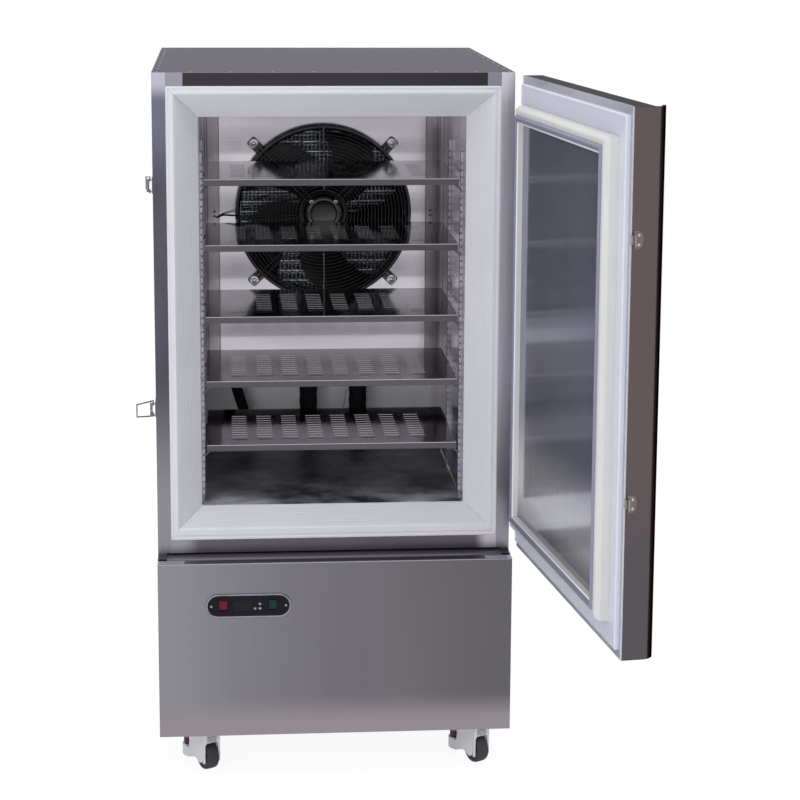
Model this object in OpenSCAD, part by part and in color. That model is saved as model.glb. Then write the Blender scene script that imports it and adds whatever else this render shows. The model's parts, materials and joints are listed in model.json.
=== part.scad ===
/* [Cabinet] */
// Width of the cabinet over its side panels
cab_w = 800; // [780:5:900]
// Depth of the insulated cabinet from its front plane to its back
cab_d = 900; // [880:10:1000]
// Height of the body from the base pan's underside to the top panel
body_h = 1500; // [1490:5:1600]
// Thickness of the stainless sheet
sheet = 1.5; // [1:0.1:2]
// Thickness of the insulated side walls
side_wall = 100; // [92:1:106]
// Thickness of the insulated ceiling
top_wall = 103; // [95:1:110]
// Thickness of the insulated floor
floor_wall = 92; // [86:1:100]
// Thickness of the insulated back wall
back_wall = 60; // [50:1:70]
// Thickness of the chamber's stainless liner
liner = 1.2; // [0.8:0.1:1.5]

/* [Doorway] */
// Width of the folded stainless flange round the doorway
flange_w = 30; // [26:1:32]
// Width of the white frame's flat lip at the sides and the top
lip_w = 17; // [14:1:19]
// Width of the white frame's flat lip along the bottom
sill_lip_w = 25; // [20:1:28]
// How far the white frame stands ahead of the flange
lip_proud = 1.5; // [1:0.1:2]
// Depth of the slanted throat
throat_d = 66; // [60:1:80]
// Wall of the white frame moulding
frame_wall = 5; // [4:0.5:6]

/* [Base unit] */
// Height of the lower front panel
base_h = 406; // [396:1:412]
// Shadow gap between the lower panel's ledge and the insulated cabinet
neck_gap = 8; // [7:0.5:10]
// How far the lower front panel stands ahead of the cabinet
base_lead = 64; // [60:1:80]
// Depth of the ledge on top of the lower front panel
ledge_d = 29; // [24:1:30]
// Depth of the rounded rail under the cabinet's front edge
rail_d = 28; // [24:1:30]
// Height of the rounded rail
rail_h = 24; // [20:1:30]
// How far the rounded rail stops short of the cabinet's sides
rail_inset = 20; // [19:1:26]
// Thickness of the base pan
pan_t = 2.5; // [2:0.5:4]

/* [Door] */
// How far the door is open, measured from shut
open_angle = 97; // [90:1:110]
// Gap between the shut door's flange and the cabinet's front
door_gap = 13; // [12.5:0.5:16]
// Thickness of the door's steel tray
door_t = 43; // [38:1:50]
// How far the door stops short of the cabinet's sides
door_inset = 6; // [4:0.5:8]
// How far the door stops short of the cabinet's top
door_drop = 2; // [1:0.5:4]
// How far the door's bottom edge lies above the insulated cabinet's underside
door_lift = 22; // [18:1:26]
// Width of the door tray's folded flange
door_flange = 17; // [14:1:18]
// Width of the white outer frame of the door
outer_frame_w = 43; // [40:1:46]
// How far the outer frame stands off the flange
outer_frame_h = 9; // [7:0.5:9.5]
// Width of the cream plug frame at its base
plug_w = 36; // [30:1:40]
// How far the plug frame stands off the flange
plug_h = 35; // [30:1:38]
// How far the plug frame's outer side slants in
plug_slant = 10; // [8:1:12]
// How far the inner door panel stands off the flange
door_panel_h = 24; // [18:1:28]
// Distance of the gasket from the plug frame's base edge
gasket_inset = 19; // [15:1:20]
// Width of the gasket
gasket_w = 12; // [8:1:14]
// Height of the gasket
gasket_h = 5; // [3:0.5:6]
// Radius of the full-height handle's curve
handle_r = 26; // [22:1:30]
// Depth of the hem at the handle's edge
handle_hem = 6; // [4:1:8]

/* [Hinges] */
// Distance of the hinge pin outside the cabinet's side
hinge_out = 24; // [22:1:30]
// Distance of the hinge pin ahead of the cabinet's front
hinge_fore = 32; // [30:1:36]
// Height of a hinge
hinge_len = 90; // [80:2:120]
// Distance of each hinge's middle from the door's end
hinge_end = 170; // [120:10:260]
// Radius of the hinge pin
hinge_pin_r = 4; // [3:0.5:5]
// Radius of the hinge knuckle
knuckle_r = 8; // [7:0.5:9]

/* [Shelves] */
// Clearance between a shelf and the chamber's side wall
shelf_side_gap = 12; // [11:1:20]
// Gap between the shelves' back edge and the fan ring
shelf_back_gap = 49; // [40:1:80]
// Distance of the shelves' front edge behind the cabinet's front
shelf_setback = 100; // [90:1:110]
// Height of a shelf's folded front edge
shelf_lip = 15; // [12:1:18]
// Height of the stop at a shelf's back edge
shelf_stop = 10; // [6:1:14]
// Height of the lowest shelf above the chamber floor
bottom_shelf = 133; // [120:1:150]
// Height of the chamber's ceiling above the top shelf
top_shelf_drop = 144; // [130:1:170]
// Rack step on which each shelf sits, counted up from the lowest shelf
shelf_steps = [0, 10, 20, 31, 41];
// Columns of slots in a shelf
slot_cols = 8; // [6:1:10]
// Rows of slots in a shelf
slot_rows = 11; // [8:1:12]
// Length of a slot
slot_len = 34; // [28:1:36]
// Width of a slot
slot_w = 7; // [5:1:9]
// Diameter of a rack post
post_dia = 8; // [6:1:8]
// Diameter of a runner wire
wire_dia = 6; // [5:0.5:6]
// Distance of the front rack posts behind the cabinet's front
post_front = 118; // [116:1:130]
// Distance of the rear rack posts ahead of the shelves' back edge
post_back = 86; // [80:1:120]

/* [Evaporator fan] */
// Depth of the space behind the fan plate
plenum_d = 285; // [270:1:300]
// Height of the fan plate's lower edge above the chamber floor
return_h = 196; // [150:2:220]
// Height of the chamber's ceiling above the fan's centre
fan_drop = 279; // [270:1:300]
// Outer radius of the fan's ring
ring_r = 216; // [210:1:220]
// Radius of the fan's throat
fan_r = 205; // [202:1:208]
// How far the fan ring stands ahead of the plate
ring_proud = 40; // [34:1:46]
// Distance of the fan's feet from its centre
foot_pcd_r = 240; // [236:1:244]
// Radius of the fan hub
hub_r = 60; // [50:1:70]
// Clearance between the blade tips and the throat
tip_gap = 5; // [4:0.5:8]
// Number of fan blades
blade_count = 7; // [5:1:9]
// Number of rings in the fan guard
guard_rings = 10; // [8:1:12]

/* [Evaporator] */
// Width of the finned coil
coil_w = 430; // [400:5:460]
// Depth of the finned coil
coil_d = 150; // [120:5:170]
// Height of the finned coil's lower edge above the chamber floor
coil_rise = 234; // [225:1:250]
// Clearance between the finned coil and the chamber's ceiling
coil_top_gap = 8; // [6:1:12]
// Distance from the fan plate to the finned coil
coil_back = 55; // [52:1:70]
// Outer diameter of the insulated pipes
pipe_dia = 46; // [36:1:50]
// Outer diameter of the drain pipe
drain_dia = 24; // [18:1:28]

/* [Controls] */
// Length of the control panel's bezel
pill_l = 194; // [186:1:200]
// Height of the control panel's bezel
pill_h = 57; // [53:1:60]
// Width of the bezel's ring
bezel_w = 5; // [4:0.5:6]
// Distance of the control panel's middle from the left side
pill_from_left = 203; // [180:1:240]
// Height of the control panel's middle above the base
pill_z = 307; // [290:1:320]
// Width of a rocker switch
rocker_w = 18; // [16:0.5:19]
// Height of a rocker switch
rocker_h = 22; // [20:0.5:24]
// Angle through which a rocker tips
rocker_tip = 12; // [10:1:14]
// Width of a key
key_w = 6; // [5:0.5:7]
// Height of a key
key_h = 4.4; // [4:0.2:5]
// Travel of a key
key_travel = 1; // [0.6:0.1:1.2]

/* [Latches] */
// Height of the upper latch's middle above the door's bottom edge
latch_high = 815; // [780:5:850]
// Height of the lower latch's middle above the door's bottom edge
latch_low = 310; // [280:5:340]
// Height of a latch's base plate
latch_h = 36; // [34:1:40]
// Length of a latch's base plate
latch_l = 56; // [54:1:60]
// Diameter of the bail's wire and of the latch's pins
bail_dia = 3; // [2.6:0.1:3]
// Length of the bail
bail_l = 43; // [42:0.5:44]
// Direction of the lower bail as it stands, from the cabinet's side
bail_swing = 124; // [100:1:150]

/* [Casters] */
// Overall height of a caster
caster_h = 102; // [100:1:104]
// Diameter of a wheel
wheel_dia = 63; // [60:1:64]
// Width of a wheel
wheel_w = 30; // [26:1:31]
// Distance of a caster's middle from the cabinet's side
caster_in = 88; // [80:1:100]
// Distance of the front casters' swivel behind the cabinet's front
caster_back = 33; // [30:1:60]
// Distance of the rear casters' axle from the back
rear_axle_in = 75; // [65:1:100]
// Distance of a swivel caster's axle from its swivel
caster_trail = 38; // [37:1:39]
// Distance of the levelling foot from the swivel
foot_reach = 34; // [33:0.5:35]
// Angle at which the front casters stand
caster_turn = 30; // [0:5:40]
// Side of a caster's square plate
caster_plate = 90; // [80:1:95]
// Running clearance of a pin in its bore
pin_gap = 0.05; // [0.03:0.01:0.1]

/* [Machinery] */
// Distance of the compressor's middle from the left side
comp_from_left = 195; // [180:1:220]
// Distance of the compressor's middle ahead of the back
comp_from_back = 332; // [300:2:380]
// Distance of the condenser's middle from the right side
cond_from_right = 250; // [240:1:280]
// Clearance between the condenser and the rear grille
cond_back_gap = 25; // [15:1:40]
// Diameter of the compressor
comp_dia = 180; // [160:5:200]
// Height of the compressor
comp_h = 250; // [220:5:270]
// Width of the condenser
cond_w = 400; // [360:10:420]
// Height of the condenser
cond_h = 320; // [300:10:340]
// Depth of the condenser
cond_d = 80; // [60:5:90]
// Radius of the condenser fan
cond_fan_r = 135; // [120:1:145]

/* [Hidden] */
$fn = 48;

// Planes of the body
hw = cab_w / 2;
front_y = -(cab_d - base_lead) / 2;
back_y = front_y + cab_d;
base_y = front_y - base_lead;
cab_z = base_h + neck_gap;
ch_hw = hw - side_wall;
ch_z0 = cab_z + floor_wall;
ch_z1 = body_h - top_wall;
ch_y0 = front_y + throat_d;
ch_y1 = back_y - back_wall;

// Doorway, each rectangle as left, right, low, high
lip_outer = [-hw + flange_w, hw - flange_w, cab_z + flange_w, body_h - flange_w];
lip_inner = [lip_outer[0] + lip_w, lip_outer[1] - lip_w, lip_outer[2] + sill_lip_w, lip_outer[3] - lip_w];
throat_rect = [-ch_hw, ch_hw, ch_z0, ch_z1];

// Door in its shut place
door_x = hw - door_inset;
door_z0 = cab_z + door_lift;
door_z1 = body_h - door_drop;
door_in = front_y - door_gap;
door_out = door_in - door_t;
plug_inset = door_flange + outer_frame_w;
panel_inset = plug_inset + plug_w;
hinge_x = hw + hinge_out;
hinge_y = front_y - hinge_fore;
leaf_t = 3;
hinge_zs = [door_z0 + hinge_end, door_z1 - hinge_end];
seat = 0.3;

// Chamber fittings
fan_y = ch_y1 - plenum_d;
fan_z = ch_z1 - fan_drop;
ring_y = fan_y - ring_proud;
motor_plate_r = hub_r - 15;
shelf_y = front_y + shelf_setback;
shelf_x = ch_hw - shelf_side_gap;
shelf_w = 2 * shelf_x;
shelf_y1 = ring_y - shelf_back_gap;
shelf_step = (ch_z1 - top_shelf_drop - ch_z0 - bottom_shelf) / shelf_steps[len(shelf_steps) - 1];
shelf_zs = [for (n = shelf_steps) ch_z0 + bottom_shelf + n * shelf_step];
post_x = ch_hw - post_dia / 2 - 2;
runner_x = shelf_x - wire_dia / 2 - 1;
coil_y = fan_y + coil_back;
coil_z = ch_z0 + coil_rise;
coil_h = ch_z1 - coil_top_gap - coil_z;
suction_x = 95;
liquid_x = -32;
drain_x = -185;
drain_back = 100;
drain_rise = 95;
pipe_y = coil_y + coil_d / 2;
shaft_r = 6;

// Base unit
panel_return = 21.5;
corner_w = 30;
rail_top = base_h + 2.5;
rail_seat_z = base_h - 4;
rail_back = 20;

// Machinery
comp_x = -hw + comp_from_left;
comp_y = back_y - comp_from_back;
cond_x = hw - cond_from_right;
cond_y1 = back_y - cond_back_gap;
cond_y0 = cond_y1 - cond_d;
cond_fan_z = pan_t + cond_h / 2 + 10;
cond_shroud_d = 40;
cond_shaft_r = 5;

// Controls
pill_x = -hw + pill_from_left;
red_x = pill_x - 57;
green_x = pill_x + 54;
switch_z = pill_z + 2;
fascia_proud = 2.5;
box_inset = 4 * bezel_w - 3;
box_d = 34;
key_d = 12;
rocker_room = 0.6;
rocker_d = 12;
rocker_y = base_y + 4;
rocker_pin_r = 1.5;
key_places = [[pill_x + 14.5, pill_z - 6], [pill_x + 25.5, pill_z + 4.5], [pill_x + 25.5, pill_z - 6]];

// Latches, as distances out of the side and behind the front
pin_a = [9, 10];
pin_b = [6.5, 21];
ear_z = 13;
ear_r = 5;
lever_z = 11;
lever_x = [12, 13.5];
bail_folded = 13;
bail_root = 17.5;
bail_tip = 14;
latch_zs = [door_z0 + latch_high, door_z0 + latch_low];

// Casters
wheel_r = wheel_dia / 2;
axle_z = wheel_r - caster_h;
axle_r = 4;
crown_z0 = -34;
crown_z1 = -8;
cheek_r = 14;
plate_t = 4;
king_r = 6;
king_z = -24;
bearing_z = -20;
stem_r = 7;
dial_r = 19.5;
dial_z = [-59, -36];
cup_z = [-90, -62];
foot_z = -92;
foot_r = 16;
stem_z = -22;
cheek_x = [wheel_w / 2 + 2, wheel_w / 2 + 7];
front_caster_y = front_y + caster_back;
rear_caster_y = back_y - rear_axle_in;
caster_x = hw - caster_in;

module slab(x, y, z) {
    translate([x[0], y[0], z[0]])
        cube([x[1] - x[0], y[1] - y[0], z[1] - z[0]]);
}

// A block whose front and back are different rectangles
module wedge(front, back, y0, y1) {
    polyhedron(
        points = [
            [front[0], y0, front[2]], [front[1], y0, front[2]],
            [front[1], y0, front[3]], [front[0], y0, front[3]],
            [back[0], y1, back[2]], [back[1], y1, back[2]],
            [back[1], y1, back[3]], [back[0], y1, back[3]]],
        faces = [[3, 2, 1, 0], [4, 5, 6, 7], [0, 1, 5, 4], [1, 2, 6, 5], [2, 3, 7, 6], [3, 0, 4, 7]]);
}

function grow(r, by) = [r[0] - by, r[1] + by, r[2] - by, r[3] + by];

module plate(r, y) {
    slab([r[0], r[1]], y, [r[2], r[3]]);
}

module both_sides() {
    children();
    mirror([1, 0, 0])
        children();
}

// Cylinder along Y or X through a point
module along_y(r, y, x = 0, z = 0) {
    translate([x, y[0], z])
        rotate([-90, 0, 0])
            cylinder(r = r, h = y[1] - y[0]);
}

module along_x(r, x, y = 0, z = 0) {
    translate([x[0], y, z])
        rotate([0, 90, 0])
            cylinder(r = r, h = x[1] - x[0]);
}

module along_z(r, z, x = 0, y = 0) {
    translate([x, y, z[0]])
        cylinder(r = r, h = z[1] - z[0]);
}

// Insulated cabinet

module side_panels() {
    color("#5a5664")
        both_sides() {
            slab([-hw, -hw + sheet], [front_y, back_y - sheet], [cab_z, body_h]);
            slab([-hw, -hw + flange_w], [front_y, front_y + sheet], [cab_z, body_h]);
        }
}

module top_panel() {
    color("#6a6672") {
        slab([-hw + sheet, hw - sheet], [front_y + sheet, back_y - sheet], [body_h - sheet, body_h]);
        slab([-hw + flange_w, hw - flange_w], [front_y, front_y + sheet], [body_h - flange_w, body_h]);
    }
}

module rear_panel() {
    color("#6a6672")
        slab([-hw, hw], [back_y - sheet, back_y], [cab_z, body_h]);
}

module bottom_panel() {
    color("#5a5664") {
        slab([-hw + sheet, hw - sheet], [front_y + sheet, back_y - sheet], [cab_z, cab_z + sheet]);
        slab([-hw + flange_w, hw - flange_w], [front_y, front_y + sheet], [cab_z, cab_z + flange_w]);
    }
}

module throat_block(by) {
    wedge(grow(lip_inner, by), grow(throat_rect, by), front_y - lip_proud, ch_y0);
}

module frame_block() {
    plate(lip_outer, [front_y - lip_proud, front_y + 3]);
    intersection() {
        throat_block(frame_wall);
        plate(grow(lip_outer, 1), [front_y, ch_y0]);
    }
}

module breaker_frame() {
    color("#d2d3d7")
        difference() {
            frame_block();
            throat_block(0);
            plate(lip_inner, [front_y - lip_proud - 1, front_y - lip_proud]);
        }
}

module chamber_liner() {
    color("#8d8b92")
        difference() {
            plate(grow(throat_rect, liner), [ch_y0, ch_y1 + liner]);
            plate(throat_rect, [ch_y0 - 1, ch_y1]);
        }
}

module foam_core() {
    color("#e6dcb4")
        difference() {
            slab([-hw + sheet, hw - sheet],
                [front_y + sheet, back_y - sheet],
                [cab_z + sheet, body_h - sheet]);
            plate(grow(throat_rect, liner), [ch_y0, ch_y1 + liner]);
            frame_block();
            throat_block(0);
        }
}

// Evaporator and its fan, behind the trays

module fan_plate() {
    strip = 45;
    seam = 0.5;
    z = [ch_z0 + return_h, ch_z1];
    color("#9b99a0") {
        difference() {
            slab([-ch_hw + strip + seam, ch_hw - strip - seam], [fan_y, fan_y + sheet], z);
            along_y(fan_r + 4, [fan_y - 1, fan_y + sheet + 1], 0, fan_z);
        }
        both_sides()
            slab([-ch_hw, -ch_hw + strip], [fan_y, fan_y + sheet], z);
    }
}

module fan_shroud() {
    foot_w = 26;
    foot_t = 6;
    screw_r = 3.2;
    flange_t = 4;
    tube_wall = 3;
    tube_back = coil_y - 10;
    color("#17171a")
        difference() {
            union() {
                along_y(ring_r, [ring_y, ring_y + flange_t], 0, fan_z);
                along_y(fan_r + tube_wall, [ring_y, tube_back], 0, fan_z);
                for (a = [45 : 90 : 315])
                    translate([0, 0, fan_z])
                        rotate([0, a, 0])
                            slab([fan_r, foot_pcd_r + foot_w / 2],
                                [fan_y - foot_t, fan_y],
                                [-foot_w / 2, foot_w / 2]);
            }
            along_y(fan_r, [ring_y - 1, tube_back + 1], 0, fan_z);
            for (a = [45 : 90 : 315])
                translate([foot_pcd_r * cos(a), 0, fan_z + foot_pcd_r * sin(a)])
                    along_y(screw_r, [fan_y - foot_t - 1, fan_y + 1]);
        }
}

module guard_ring(r, wire) {
    translate([0, 0, fan_z])
        rotate([90, 0, 0])
            rotate_extrude($fn = 64)
                translate([r, 0])
                    circle(d = wire, $fn = 16);
}

module fan_guard() {
    wire = 3;
    inner = motor_plate_r + 2 * wire;
    outer = ring_r - 4;
    guard_y = ring_y - 2 * wire;
    spoke_pair = 6;
    spoke_y = guard_y + wire * 0.8;
    color("#1c1c1f") {
        for (i = [0 : guard_rings - 1])
            translate([0, guard_y, 0])
                guard_ring(inner + (outer - inner) * i / (guard_rings - 1), wire);
        for (a = [45 : 90 : 315], side = [-1, 1])
            translate([0, spoke_y, fan_z])
                rotate([0, a, 0])
                    along_x(wire / 2, [motor_plate_r - 2, outer], 0, side * spoke_pair);
        for (a = [0 : 90 : 270])
            translate([outer * cos(a), 0, fan_z + outer * sin(a)])
                along_y(wire / 2, [guard_y, ring_y]);
    }
}

module fan_motor() {
    color("#1b1b1e") {
        along_y(motor_plate_r, [ring_y - 9, ring_y + 1], 0, fan_z);
        along_y(motor_plate_r - 6, [ring_y + 1, ring_y + 14], 0, fan_z);
        along_y(shaft_r, [ring_y + 14, fan_y + 30], 0, fan_z);
    }
}

module blade(reach, chord, pitch, thick) {
    rotate([pitch, 0, 0])
        linear_extrude(thick, center = true)
            polygon([
                [0, -chord * 0.28], [reach * 0.62, -chord * 0.5], [reach * 0.97, -chord * 0.3],
                [reach, chord * 0.05],
                [reach * 0.93, chord * 0.42], [reach * 0.5, chord * 0.42], [0, chord * 0.3]]);
}

module evaporator_fan() {
    root = hub_r - 6;
    reach = fan_r - tip_gap - root;
    chord = 105;
    pitch = 65;
    blade_t = 2.5;
    color("#151517")
        difference() {
            union() {
                along_y(hub_r, [ring_y + 17, fan_y + 26], 0, fan_z);
                for (i = [0 : blade_count - 1])
                    translate([0, fan_y - 6, fan_z])
                        rotate([0, i * 360 / blade_count, 0])
                            translate([root, 0, 0])
                                blade(reach, chord, pitch, blade_t);
            }
            along_y(shaft_r + pin_gap, [ring_y + 16, fan_y + 31], 0, fan_z);
        }
}

// Half ring of tube standing out along +Z
module return_bend(r, tube_dia) {
    rotate([90, 0, 0])
        rotate_extrude(angle = 180, $fn = 32)
            translate([r, 0])
                circle(d = tube_dia, $fn = 16);
}

module evaporator_coil() {
    end_t = 2;
    end_lap = 5;
    end_drop = 8;
    tube_dia = 12;
    tube_in = 40;
    bend_r = 21;
    bend_pitch = 100;
    bends = floor((coil_h - 2 * tube_in) / bend_pitch);
    color("#a8adb5") {
        slab([-coil_w / 2, coil_w / 2], [coil_y, coil_y + coil_d], [coil_z, coil_z + coil_h]);
        both_sides() {
            slab([-coil_w / 2 - end_t, -coil_w / 2],
                [coil_y - end_lap, coil_y + coil_d + end_lap],
                [coil_z - end_drop, ch_z1]);
            for (i = [0 : bends], y = [coil_y + tube_in, coil_y + coil_d - tube_in])
                translate([coil_w / 2 + end_t, y, coil_z + tube_in + i * bend_pitch])
                    rotate([0, 90, 0])
                        return_bend(bend_r, tube_dia);
        }
    }
}

module insulated_pipes() {
    drain_tilt = 38;
    color("#1a1a1c") {
        for (x = [liquid_x, suction_x])
            along_z(pipe_dia / 2, [ch_z0, coil_z], x, pipe_y);
        intersection() {
            translate([drain_x, coil_y + drain_back, ch_z0 + drain_rise])
                rotate([0, -drain_tilt, 0])
                    cylinder(d = drain_dia, h = cab_w, center = true);
            slab([-ch_hw, 0], [coil_y, ch_y1], [ch_z0, coil_z]);
        }
    }
}

// Racks and shelves

module rack() {
    z1 = shelf_zs[len(shelf_zs) - 1] + 60;
    hook_r = wire_dia / 2 - 0.5;
    post_ys = [front_y + post_front, shelf_y1 - post_back];
    for (y = post_ys)
        along_z(post_dia / 2, [ch_z0, z1], post_x, y);
    for (level = shelf_zs) {
        z = level - liner - seat - wire_dia / 2;
        along_y(wire_dia / 2, [post_ys[0] - 12, post_ys[1] + 30], runner_x, z);
        for (y = post_ys)
            along_x(hook_r, [runner_x, post_x], y, z);
    }
    for (y = post_ys, z = [ch_z0 + 60, z1 - 20])
        along_x(hook_r, [post_x, ch_hw], y, z);
}

module shelf_racks() {
    color("#b9b9be")
        both_sides()
            rack();
}

module shelf(level) {
    z = shelf_zs[level - 1];
    y1 = shelf_y1;
    margin = 20;
    col = shelf_w / (slot_cols + 0.6);
    row = (shelf_y1 - shelf_y - 2 * margin) / slot_rows;
    color("#77767c")
        difference() {
            union() {
                slab([-shelf_x, shelf_x], [shelf_y, y1], [z - liner, z]);
                slab([-shelf_x, shelf_x], [shelf_y, shelf_y + liner], [z - shelf_lip, z]);
                slab([-shelf_x, shelf_x], [y1 - liner, y1], [z - liner, z + shelf_stop]);
            }
            for (i = [0 : slot_cols - 1], j = [0 : slot_rows - 1])
                translate([(i - (slot_cols - 1) / 2) * col, shelf_y + margin + (j + 0.5) * row, z])
                    cube([slot_len, slot_w, 4], center = true);
        }
}

module shelf_1() shelf(1);
module shelf_2() shelf(2);
module shelf_3() shelf(3);
module shelf_4() shelf(4);
module shelf_5() shelf(5);

// Base unit

module base_pan() {
    color("#8d8b92")
        slab([-hw + sheet, hw - sheet], [base_y + sheet, back_y - sheet], [0, pan_t]);
}

module base_side_panels() {
    color("#7c7a82")
        both_sides() {
            slab([-hw, -hw + sheet],
                [base_y + panel_return + seat, back_y],
                [0, base_h - sheet - seat]);
            slab([-hw, -hw + rail_inset - 1], [front_y - rail_d, back_y], [rail_seat_z, rail_top]);
            slab([-hw, -hw + rail_inset - 1], [front_y, back_y], [base_h, cab_z]);
            slab([-hw, -hw + corner_w], [front_y + rail_back + seat, back_y], [base_h, cab_z]);
            slab([-hw, -hw + corner_w], [back_y - sheet, back_y], [pan_t, cab_z]);
        }
}

module pill(l, h, y) {
    slab([pill_x - l / 2 + h / 2, pill_x + l / 2 - h / 2], y, [pill_z - h / 2, pill_z + h / 2]);
    for (s = [-1, 1])
        along_y(h / 2, y, pill_x + s * (l - h) / 2, pill_z);
}

module front_panel() {
    color("#85848c")
        difference() {
            union() {
                slab([-hw, hw], [base_y, base_y + sheet], [0, base_h]);
                slab([-hw, hw], [base_y, base_y + ledge_d], [base_h - sheet, base_h]);
                both_sides()
                    slab([-hw, -hw + sheet], [base_y, base_y + panel_return], [0, base_h]);
            }
            pill(pill_l - box_inset + 1, pill_h - box_inset + 1, [base_y - 1, base_y + sheet + 1]);
        }
}

module neck_rail() {
    r = 8;
    x = hw - rail_inset;
    z = [rail_top - rail_h, rail_top];
    color("#a9a8ae")
        difference() {
            union() {
                slab([-x, x], [front_y - rail_d + r, front_y + rail_back], z);
                slab([-x, x], [front_y - rail_d, front_y], [z[0], z[1] - r]);
                along_x(r, [-x, x], front_y - rail_d + r, z[1] - r);
                both_sides()
                    slab([-hw + sheet, -x], [front_y - rail_d + r, front_y + rail_back], [z[0], rail_seat_z]);
            }
            slab([-x + 2, x - 2], [front_y - rail_d + r + 3, front_y + rail_back - 2], [z[0] - 1, z[1] - 3]);
        }
}

module rear_grille() {
    slot_l = cond_w - 40;
    pitch = 22;
    count = floor((cond_h - 40) / pitch);
    color("#6a6672")
        difference() {
            slab([-hw + corner_w + seat, hw - corner_w - seat], [back_y - sheet, back_y], [pan_t, cab_z - 4]);
            for (i = [0 : count - 1])
                translate([cond_x, back_y, pan_t + 58 + i * pitch])
                    cube([slot_l, 4 * sheet, 9], center = true);
        }
}

module compressor() {
    foot_h = 20;
    foot_r = 16;
    foot_y = 52;
    plate_out = 20;
    plate_hd = 70;
    plate_z = [pan_t + foot_h - 2, pan_t + foot_h + 6];
    shoulder_z = pan_t + comp_h - 30;
    cap_in = 25;
    terminal_out = 40;
    terminal_hw = 35;
    terminal_z = pan_t + 108;
    terminal_h = 90;
    stub_r = 9;
    stub_h = 60;
    r = comp_dia / 2;
    color("#1b1b1d")
        translate([comp_x, comp_y, 0]) {
            along_z(r, [plate_z[1] - 1, shoulder_z]);
            along_z(r - cap_in, [shoulder_z, pan_t + comp_h]);
            slab([-r - plate_out, r + plate_out], [-plate_hd, plate_hd], plate_z);
            for (sx = [-1, 1], sy = [-1, 1])
                along_z(foot_r, [pan_t, pan_t + foot_h], sx * (r + 2), sy * foot_y);
            slab([r - 6, r + terminal_out],
                [-terminal_hw, terminal_hw],
                [terminal_z, terminal_z + terminal_h]);
            along_z(stub_r, [pan_t + comp_h - 10, pan_t + comp_h + stub_h]);
        }
}

module condenser() {
    half = cond_w / 2;
    arm_y = cond_y0 - cond_shroud_d;
    motor_r = 42;
    motor_l = 90;
    arm_hw = 6;
    throat_room = 8;
    color("#83868c")
        difference() {
            slab([cond_x - half, cond_x + half], [arm_y, cond_y1], [pan_t, pan_t + cond_h + 20]);
            along_y(cond_fan_r + throat_room, [arm_y - 1, cond_y0], cond_x, cond_fan_z);
        }
    color("#1b1b1d") {
        for (a = [45 : 90 : 315])
            translate([cond_x, 0, cond_fan_z])
                rotate([0, a, 0])
                    slab([motor_r - 4, cond_fan_r + throat_room + 2], [arm_y - 6, arm_y], [-arm_hw, arm_hw]);
        along_y(motor_r, [arm_y - motor_l, arm_y], cond_x, cond_fan_z);
        along_y(cond_shaft_r, [arm_y - 1, cond_y0 - 8], cond_x, cond_fan_z);
    }
}

module condenser_fan() {
    root = 30;
    hub = 34;
    blades = 5;
    chord = 80;
    pitch = 70;
    blade_t = 2;
    mid_y = cond_y0 - cond_shroud_d / 2 - 2;
    color("#b5b5b9")
        difference() {
            union() {
                along_y(hub, [mid_y - 12, mid_y + 10], cond_x, cond_fan_z);
                for (i = [0 : blades - 1])
                    translate([cond_x, mid_y, cond_fan_z])
                        rotate([0, i * 360 / blades, 0])
                            translate([root, 0, 0])
                                blade(cond_fan_r - root, chord, pitch, blade_t);
            }
            along_y(cond_shaft_r + pin_gap, [mid_y - 13, mid_y + 11], cond_x, cond_fan_z);
        }
}

// Control panel

module control_bezel() {
    color("#d8d8dc")
        difference() {
            pill(pill_l, pill_h, [base_y - 4, base_y]);
            pill(pill_l - 2 * bezel_w, pill_h - 2 * bezel_w, [base_y - 5, base_y + 1]);
        }
}

module key_hole(p, by) {
    slab([p[0] - key_w / 2 - by, p[0] + key_w / 2 + by], [base_y - 10, base_y + key_d],
        [p[1] - key_h / 2 - by, p[1] + key_h / 2 + by]);
}

module control_fascia() {
    inner_l = pill_l - 2 * bezel_w - 0.6;
    inner_h = pill_h - 2 * bezel_w - 0.6;
    color("#101014") {
        difference() {
            union() {
                pill(inner_l, inner_h, [base_y - fascia_proud, base_y]);
                pill(pill_l - box_inset, pill_h - box_inset, [base_y, base_y + box_d]);
            }
            for (x = [red_x, green_x])
                slab([x - rocker_w / 2 - rocker_room, x + rocker_w / 2 + rocker_room],
                    [base_y - 10, base_y + rocker_d + 8],
                    [switch_z - rocker_h / 2 - 1 - rocker_room, switch_z + rocker_h / 2 + 1 + rocker_room]);
            for (p = key_places)
                key_hole(p, seat);
        }
        for (x = [red_x, green_x])
            along_x(rocker_pin_r, [x - rocker_w / 2 - 1, x + rocker_w / 2 + 1], rocker_y, switch_z);
    }
}

module rocker(x, shade) {
    color(shade)
        translate([x, rocker_y, switch_z])
            rotate([-rocker_tip / 2, 0, 0])
                difference() {
                    intersection() {
                        slab([-rocker_w / 2, rocker_w / 2],
                            [-10, rocker_d - 4],
                            [-rocker_h / 2, rocker_h / 2]);
                        along_x(16, [-rocker_w / 2 - 1, rocker_w / 2 + 1], 6);
                    }
                    along_x(rocker_pin_r + pin_gap, [-rocker_w, rocker_w]);
                }
}

module red_rocker() rocker(red_x, "#b02038");
module green_rocker() rocker(green_x, "#175a40");

module key(p) {
    color("#2a2a30")
        slab([p[0] - key_w / 2, p[0] + key_w / 2],
            [base_y - fascia_proud - 0.8, base_y + key_d - key_travel - 0.5],
            [p[1] - key_h / 2, p[1] + key_h / 2]);
}

module set_key() key(key_places[0]);
module up_key() key(key_places[1]);
module down_key() key(key_places[2]);

// Toggle latches on the left side

module at_latch(z) {
    translate([-hw, front_y, z])
        mirror([1, 0, 0])
            children();
}

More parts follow.
